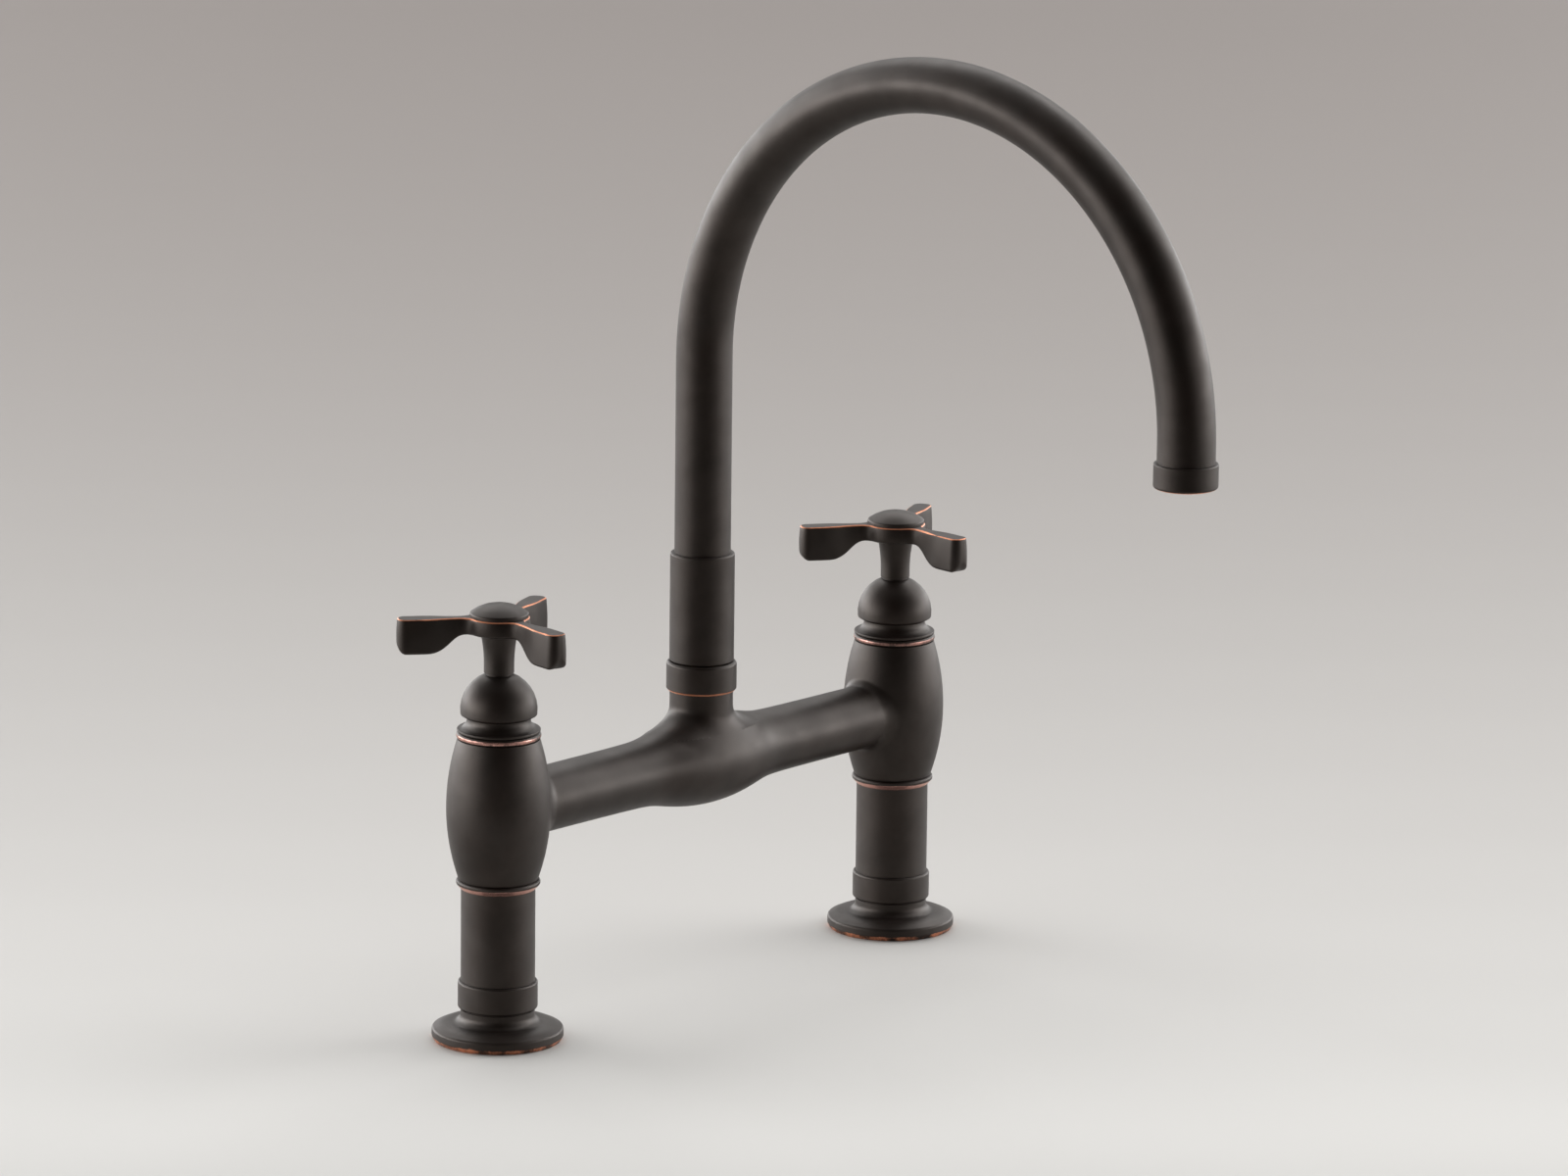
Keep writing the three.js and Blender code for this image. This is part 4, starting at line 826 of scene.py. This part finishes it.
def cap_piece(side):
    """Button in the hub: a short upright foot and a dome."""
    node = side + "_handle_cap"
    axis = axis_of(node)
    plug = place(node)[2]
    hub_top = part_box(side + "_handle")[1].z / MM
    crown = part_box(node)[1].z / MM + CAP_RISE
    rim_top = hub_top + CAP_RIM
    rise = crown - rim_top
    radius = (rise**2 + CAP_RADIUS**2) / (2 * rise)
    edge = math.degrees(math.acos(CAP_RADIUS / radius))
    dome = arc((0, crown - radius), radius, edge, POLE_ANGLE)
    bore, wall = CAP_PLUG
    floor = hub_top + CLEARANCE
    outline = rounded([
        (bore, plug), (wall, plug), (wall, hub_top), (CAP_RADIUS, hub_top),
        (CAP_RADIUS, rim_top, CAP_RIM_ROUND), *dome[1:], (CAP_CORE, floor), (bore, floor),
    ])
    points, faces = turned(outline, axis)
    finish_piece(node, points, faces, side + "_handle_set")


# ---- Bridge ----

BELLY_RADIUS = (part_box("bridge")[1].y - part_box("bridge")[0].y) / 2 / MM
BRIDGE_LEVEL = (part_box("left_bridge_seal")[0].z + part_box("left_bridge_seal")[1].z) / 2 / MM
NECK_LEVEL = place("union_nut")[2] + NECK_TOP_LAP
NECK_SPREAD = NECK_RADIUS + NECK_COVE
VALVE_X = axis_of("right_valve_barrel").x


def round_union(first, second, radius):
    """Distance to two forms joined with a fillet."""
    near = np.hypot(np.maximum(radius - first, 0), np.maximum(radius - second, 0))
    return np.maximum(radius, np.minimum(first, second)) - near


def bridge_field(x, y, z):
    """Below zero inside the bridge. z is measured from the bridge's axis."""
    belly = BELLY_RADIUS - BELLY_ARC + np.sqrt(np.maximum(BELLY_ARC**2 - x**2, 0))
    radius = (belly + TUBE_RADIUS + np.hypot(belly - TUBE_RADIUS, BELLY_BLEND)) / 2
    radius = radius - BELLY_BLEND**2 / 4 / (BELLY_RADIUS - TUBE_RADIUS)
    tube = np.hypot(y, z) - radius
    front = np.maximum(1 - (x / NECK_SPREAD) ** 2, 0)
    fillet = NECK_END_FILLET + (NECK_FRONT_FILLET - NECK_END_FILLET) * front
    body = round_union(tube, neck_field(x, y, z), fillet)
    body = np.maximum(body, z - (NECK_LEVEL - BRIDGE_LEVEL))
    barrel = barrel_field(x, y, z)
    body = round_union(body, barrel + SINK, BARREL_FILLET)
    near_barrel = np.abs(x) > VALVE_X / 2
    body = np.where(near_barrel, np.maximum(body, tube - BARREL_FILLET), body)
    return np.maximum(body, -(barrel + LET_IN))


def barrel_field(x, y, z):
    return np.hypot(np.abs(x) - VALVE_X, y) - barrel_radius("left", z + BRIDGE_LEVEL)


def neck_field(x, y, z):
    """The neck is round at its top and spreads along the tube in a cove."""
    start = place("union_nut")[2] - NECK_STRAIGHT - BRIDGE_LEVEL
    fall = np.clip((start - z) / NECK_COVE_HEIGHT, 0, 1)
    half = NECK_RADIUS + NECK_COVE * (1 - np.sqrt(1 - fall**2))
    return np.maximum(np.hypot(x * NECK_RADIUS / half, y) - NECK_RADIUS, -z)


def surface_of(field, low, high, pitch):
    """Quads round the surface where a field crosses zero, one point in each crossed cell."""
    lines = [np.arange(low[i], high[i] + pitch, pitch) for i in range(3)]
    values = field(*np.meshgrid(*lines, indexing="ij"))
    inside = values < 0
    shape = tuple(n - 1 for n in inside.shape)
    count = np.zeros(shape, int)
    for i, j, k in np.ndindex(2, 2, 2):
        count += inside[i:i + shape[0], j:j + shape[1], k:k + shape[2]]
    crossed = (count > 0) & (count < 8)
    number = np.full(shape, -1)
    number[crossed] = np.arange(crossed.sum())
    cells = np.argwhere(crossed)
    points = np.column_stack([lines[i][cells[:, i]] + pitch / 2 for i in range(3)])
    faces = []
    for axis in range(3):
        first, second = (axis + 1) % 3, (axis + 2) % 3
        ends = np.roll(inside, -1, axis=axis)
        edges = np.argwhere(inside != ends)
        leaving = inside[tuple(edges.T)]
        around = []
        for a, b in ((0, 0), (-1, 0), (-1, -1), (0, -1)):
            cell = edges.copy()
            cell[:, first] += a
            cell[:, second] += b
            around.append(number[tuple(cell.T)])
        quads = np.column_stack(around)
        quads[~leaving] = quads[~leaving][:, ::-1]
        faces.append(quads)
    return points, np.vstack(faces)


def slope_of(field, points, span=0.02):
    """The field's slope at each point."""
    slopes = []
    for i in range(3):
        shift = np.zeros(3)
        shift[i] = span
        slopes.append((field(*(points + shift).T) - field(*(points - shift).T)) / (2 * span))
    return np.column_stack(slopes)


def settled(field, points, faces):
    """The points moved onto the field's zero and evened out along it."""
    ends = np.vstack([faces[:, [i, (i + 1) % 4]] for i in range(4)])
    ends = np.vstack([ends, ends[:, ::-1]])
    shares = np.bincount(ends[:, 0], minlength=len(points))[:, None]
    for even in EVENING:
        if even:
            sums = np.column_stack([
                np.bincount(ends[:, 0], points[ends[:, 1], i], len(points)) for i in range(3)
            ])
            points = points * (1 - even) + sums / shares * even
        slope = slope_of(field, points)
        steep = np.maximum((slope**2).sum(1), LEAST_STEEPNESS)[:, None]
        step = slope * field(*points.T)[:, None] / steep
        points = points - np.clip(step, -FIELD_PITCH, FIELD_PITCH)
    return points


def bridge_piece():
    reach, around = VALVE_X - FIELD_END, BELLY_RADIUS + FIELD_MARGIN
    low = (-reach, -around, -around)
    high = (reach, around, NECK_LEVEL - BRIDGE_LEVEL + FIELD_MARGIN)
    points, faces = surface_of(bridge_field, low, high, FIELD_PITCH)
    points = settled(bridge_field, points, faces)
    over_barrel = barrel_field(*points.T)[:, None]
    share = np.clip(over_barrel / FEATHER, 0, 1)
    normals = slope_of(bridge_field, points) * share + slope_of(barrel_field, points) * (1 - share)
    normals /= np.linalg.norm(normals, axis=1)[:, None]
    points = points + np.array([0, 0, BRIDGE_LEVEL])
    finish_piece("bridge", points, faces.tolist(), normals=normals)


def union_piece():
    node, radius, base, top = sized("union_nut")
    bore, roof = NECK_RADIUS - UNION_BORE_STEP, top - UNION_ROOF
    chamfer_in, chamfer_up = UNION_CHAMFER
    low_round, high_round = UNION_CHAMFER_ROUNDS
    turned_piece(node, rounded([
        (bore, base), (radius - chamfer_in, base, low_round),
        (radius, base + chamfer_up, high_round),
        (radius, top, UNION_TOP_ROUND), (POST_HOLE, top), (POST_HOLE, roof), (bore, roof),
    ]))


# ---- Spout ----

def sleeve_piece():
    node, radius, base, top = sized("spout_sleeve")
    hole, shelf = tube_radius() + TUBE_FIT, base + SPOUT_SLEEVE_SHELF
    turned_piece(node, rounded([
        (POST_HOLE, base), (radius, base, SPOUT_SLEEVE_LOW_ROUND),
        (radius, top, SPOUT_SLEEVE_TOP_ROUND), (hole, top), (hole, shelf), (POST_HOLE, shelf),
    ]), body="spout")


def tube_radius():
    low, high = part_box("spout_tube")
    return (high.x - low.x) / 2 / MM


def tube_piece():
    """Gooseneck: up, over half a turn and a short way down, a little flattened by the bend."""
    low, high = (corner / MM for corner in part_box("spout_tube"))
    radius = tube_radius()
    bend = (high.y - low.y) / 2 - radius
    spring = high.z - radius - bend
    end = place("outlet_collar")[2] + OUTLET_LIP_HEIGHT + CLEARANCE
    straight, turn, drop = spring - low.z, math.pi * bend, spring - end
    length = straight + turn + drop
    along = np.linspace(0, length, SPOUT_STATIONS)
    angle = np.clip((along - straight) / bend, 0, math.pi)
    rise = np.minimum(along, straight) - straight
    fall = np.maximum(along - straight - turn, 0)
    centre_y = bend * (np.cos(angle) - 1)
    centre_z = spring + rise + bend * np.sin(angle) - fall
    squeeze = 1 - BEND_SQUEEZE * np.sqrt(np.sin(angle))[:, None]
    around = np.linspace(0, 2 * math.pi, FINE_SIDES, endpoint=False)
    skins = []
    for skin in (radius, radius - SPOUT_WALL):
        out = skin * squeeze * np.sin(around)
        skins.append(np.stack([
            np.broadcast_to(skin * np.cos(around), out.shape),
            centre_y[:, None] + out * np.cos(angle)[:, None],
            centre_z[:, None] + out * np.sin(angle)[:, None],
        ], axis=-1))
    rows = np.concatenate([skins[0], skins[1][::-1]])
    faces = grid_faces(len(rows), FINE_SIDES, closed_rows=True)
    finish_piece("spout_tube", rows.reshape(-1, 3), faces, "spout")


def outlet_piece():
    node, radius, base, top = sized("outlet_collar")
    hole, lip = tube_radius() + TUBE_FIT, tube_radius() - SPOUT_WALL
    lip_top = base + OUTLET_LIP_HEIGHT
    turned_piece(node, rounded([
        (lip, base, OUTLET_MOUTH_ROUND), (radius, base, OUTLET_LOW_ROUND),
        (radius, top, OUTLET_TOP_ROUND), (hole, top), (hole, lip_top), (lip, lip_top),
    ]), body="spout")


# ---- Under the deck ----

def shank_piece(side):
    """Supply pipe with a cut thread below the deck and a plain upper end."""
    node = side + "_shank"
    axis, radius, base, top = place(node)
    levels = np.arange(base, THREAD_TOP, THREAD_PITCH / THREAD_ROWS)
    angles = np.linspace(0, 1, THREAD_SIDES, endpoint=False)
    phase = (levels[:, None] / THREAD_PITCH - angles) % 1
    depth = THREAD_DEPTH * np.clip(THREAD_FLANK * np.abs(2 * phase - 1) - THREAD_CREST, 0, 1)
    depth[0], depth[-1] = THREAD_DEPTH, 0
    plain = np.ones((1, THREAD_SIDES))
    bore = SHANK_BORE * plain
    radii = np.vstack([radius - depth, radius * plain, bore, bore])
    points, faces = ring_of(radii, [*levels, top, top, base], axis)
    finish_piece(node, points, faces, slot="raw_brass")


def nut_piece(side):
    """Hexagon nut, turned down to a cone at both ends."""
    node = side + "_mounting_nut"
    axis, corner, base, top = place(node)
    half = corner * math.cos(math.radians(30))
    hole = shank_hole(side)
    angles = np.degrees(np.linspace(0, 2 * math.pi, FINE_SIDES, endpoint=False))
    hexagon = half / np.cos(np.radians((angles + 30) % 60 - 30))
    rows = []
    face = half - NUT_FACE_INSET
    for share in np.linspace(0, 1, NUT_CHAMFER_STEPS):
        cone = face + share * (hexagon.max() - face)
        rows.append((np.minimum(hexagon, cone), base + share * NUT_CHAMFER))
    rows += [(radii, base + top - level) for radii, level in reversed(rows)]
    mouth, step = hole + NUT_BORE_CHAMFER, NUT_BORE_CHAMFER
    for radius, level in ((mouth, top), (hole, top - step), (hole, base + step), (mouth, base)):
        rows.append((np.full(FINE_SIDES, radius), level))
    radii, levels = zip(*rows)
    points, faces = ring_of(np.array(radii), levels, axis)
    finish_piece(node, points, faces, slot="raw_brass")


def washer_piece(node, slot):
    node, radius, base, top = sized(node)
    hole = shank_hole(node.split("_")[0])
    turned_piece(node, rounded([
        (hole, base, WASHER_ROUND), (radius, base, WASHER_ROUND),
        (radius, top, WASHER_ROUND), (hole, top, WASHER_ROUND),
    ]), slot=slot)


# ---- Stage, lamps and camera ----

FLOOR_RADIUS = 9000
# The floor's colour carries painted shade. It is pale before the faucet and fades to grey far
# behind it, a painted fall-off of the light. On the camera's side, outside the picture, it fades to
# dark, painted shade for a dim room, so the faucet's front reflects dark. Places are distances
# past the faucet, away from the camera.
# The first colour is painted shade on the camera's side and the last is painted shade far behind;
# the middle one is the floor's own pale colour.
FLOOR_FRONT_SHADE, FLOOR_PALE, FLOOR_FAR_SHADE = (0.07, 0.07, 0.07), (0.67, 0.66, 0.64), (0.20, 0.18, 0.17)
DARK_AT, PALE_AT, FAR_AT, FLOOR_STEP = -900, -200, 2100, 100
DARK_SHAPE, FADE_LENGTH, FADE_SHAPE = 1.5, 800, 1.2

CAMERA_AZIMUTH = -48.769
CAMERA_ELEVATION = 12.774
CAMERA_ROLL = 0.645
CAMERA_DISTANCE = 2999.67
CAMERA_TARGET = (-1.2, -38.286, 145.452)
LENS = 202.88
FAR_CLIP = 60000


def view_axes():
    """Unit vectors to the right, up and back of the photograph's viewpoint."""
    angles = CAMERA_AZIMUTH, CAMERA_ELEVATION, CAMERA_ROLL
    azimuth, elevation, roll = (math.radians(angle) for angle in angles)
    back = Vector((
        math.sin(azimuth) * math.cos(elevation),
        -math.cos(azimuth) * math.cos(elevation),
        math.sin(elevation),
    ))
    level = Vector((math.cos(azimuth), math.sin(azimuth), 0))
    upright = back.cross(level)
    right = level * math.cos(roll) + upright * math.sin(roll)
    up = upright * math.cos(roll) - level * math.sin(roll)
    return right, up, back


def add_camera():
    right, up, back = view_axes()
    camera = bpy.data.objects.new("camera", bpy.data.cameras.new("camera"))
    camera.data.lens = LENS
    camera.data.clip_end = FAR_CLIP * MM
    turn = Matrix((right, up, back)).transposed().to_4x4()
    position = (Vector(CAMERA_TARGET) + back * CAMERA_DISTANCE) * MM
    camera.matrix_world = Matrix.Translation(position) @ turn
    bpy.context.scene.collection.objects.link(camera)
    bpy.context.scene.camera = camera


def shaded_floor_colour(past):
    """Colour of the floor at a distance past the faucet, painted shade included: dark on the
    camera's side, fading to grey far behind.
    """
    if past < PALE_AT:
        end, share = FLOOR_FRONT_SHADE, ((past - DARK_AT) / (PALE_AT - DARK_AT)) ** DARK_SHAPE
    else:
        end, share = FLOOR_FAR_SHADE, math.exp(-((past - PALE_AT) / FADE_LENGTH) ** FADE_SHAPE)
    return [low + (pale - low) * share for low, pale in zip(end, FLOOR_PALE)]


def add_floor():
    angles = np.linspace(0, 2 * math.pi, FINE_SIDES, endpoint=False)
    rim = np.column_stack([np.cos(angles), np.sin(angles), 0 * angles]) * FLOOR_RADIUS
    floor = mesh_piece("floor", rim, [list(range(FINE_SIDES))])
    shader = Shader("floor")
    along = shader.add("VectorMath", {"operation": "DOT_PRODUCT"})
    shader.set(along, 0, shader.place)
    shader.set(along, 1, -direction(CAMERA_AZIMUTH, 0))
    from_dark = shader.math("SUBTRACT", along.outputs["Value"], DARK_AT * MM)
    span = FAR_AT - DARK_AT
    share = shader.math("DIVIDE", from_dark, span * MM)
    places = range(DARK_AT, FAR_AT + 1, FLOOR_STEP)
    # The floor's colour runs through its painted shade along the camera's way: dark in front, pale
    # at the faucet, grey far behind.
    colour = shader.stops(share, [((at - DARK_AT) / span, shaded_floor_colour(at)) for at in places])
    paper = shader.look(Base_Color=colour, Roughness=0.6, Specular_IOR_Level=0.1)
    floor.data.materials.append(paper)


# Soft boxes round the faucet: name, azimuth away from the camera's, elevation of the middle, half
# angles that the box fills across and up, and radiance.
LAMPS = [
    ("left_low_front", -60, 8, 15, 8, 5.5),
    ("left_low_side", -90, 8, 15, 8, 10.0),
    ("left_low_back", -120, 8, 15, 8, 7.5),
    ("left_low_far", -150, 8, 15, 8, 4.0),
    ("right_low_front", 60, 8, 15, 8, 2.0),
    ("right_low_side", 90, 7, 15, 7, 7.0),
    ("right_low_back", 120, 8, 15, 8, 6.0),
    ("right_low_far", 150, 8, 15, 8, 3.0),
    ("left_high", -120, 25, 15, 9, 4.0),
    ("right_high", 120, 25, 15, 9, 3.5),
    ("left_upper", -120, 45, 25, 15, 0.7),
    ("right_upper", 120, 45, 25, 15, 2.3),
    ("back_upper", 180, 45, 25, 15, 2.3),
    ("overhead", 0, 90, 22, 22, 0.35),
]
LAMP_DISTANCE = 3500
WORLD_FRONT = 0.03  # radiance of the studio on the camera's side
WORLD_BACK = 0.55
WORLD_TURN = (-0.5, 0.8)  # the light rises between these shares of the way to straight behind
WORLD_TINT = (1, 0.985, 0.965)


def direction(azimuth, elevation):
    """Unit vector to a place seen from the faucet, azimuth 0 being straight in front."""
    azimuth, elevation = math.radians(azimuth), math.radians(elevation)
    level = math.cos(elevation)
    return Vector((math.sin(azimuth) * level, -math.cos(azimuth) * level, math.sin(elevation)))


def add_lamps():
    for name, azimuth, elevation, across, up, radiance in LAMPS:
        way = direction(CAMERA_AZIMUTH + azimuth, elevation)
        reach = 2 * LAMP_DISTANCE * MM
        wide, high = (reach * math.tan(math.radians(half)) for half in (across, up))
        lamp = bpy.data.lights.new(name, "AREA")
        lamp.shape = "RECTANGLE"
        lamp.size, lamp.size_y = wide, high
        lamp.energy = math.pi * radiance * wide * high
        holder = bpy.data.objects.new(name, lamp)
        holder.location = way * LAMP_DISTANCE * MM
        holder.rotation_euler = way.to_track_quat("Z", "Y").to_euler()
        holder.visible_camera = False
        bpy.context.scene.collection.objects.link(holder)


def add_world():
    """Soft studio light, dim behind the camera and bright behind the faucet."""
    world = bpy.data.worlds.new("studio")
    world.use_nodes = True
    bpy.context.scene.world = world
    nodes, links = world.node_tree.nodes, world.node_tree.links
    kinds = "TexCoord", "VectorMath", "MapRange"
    way, along, light = (nodes.new("ShaderNode" + kind) for kind in kinds)
    along.operation = "DOT_PRODUCT"
    along.inputs[1].default_value = -direction(CAMERA_AZIMUTH, 0)
    light.interpolation_type = "SMOOTHSTEP"
    names = "From Min", "From Max", "To Min", "To Max"
    for name, value in zip(names, (*WORLD_TURN, WORLD_FRONT, WORLD_BACK)):
        light.inputs[name].default_value = value
    links.new(way.outputs["Generated"], along.inputs[0])
    links.new(along.outputs["Value"], light.inputs["Value"])
    links.new(light.outputs["Result"], nodes["Background"].inputs["Strength"])
    nodes["Background"].inputs["Color"].default_value = (*WORLD_TINT, 1)


# ---- The scene ----

dress_cad_nodes()
for side in SIDES:
    for piece in (
        flange_piece, collar_piece, leg_piece, lower_ring_piece, barrel_piece, upper_ring_piece,
        bonnet_piece, handle_piece, cap_piece, shank_piece, nut_piece,
    ):
        piece(side)
    washer_piece(side + "_clamp_washer", "steel")
    washer_piece(side + "_clamp_seal", "rubber")
for step in (
    bridge_piece, union_piece, sleeve_piece, tube_piece, outlet_piece,
    add_camera, add_floor, add_lamps, add_world,
):
    step()
bpy.context.scene.view_settings.view_transform = "Standard"
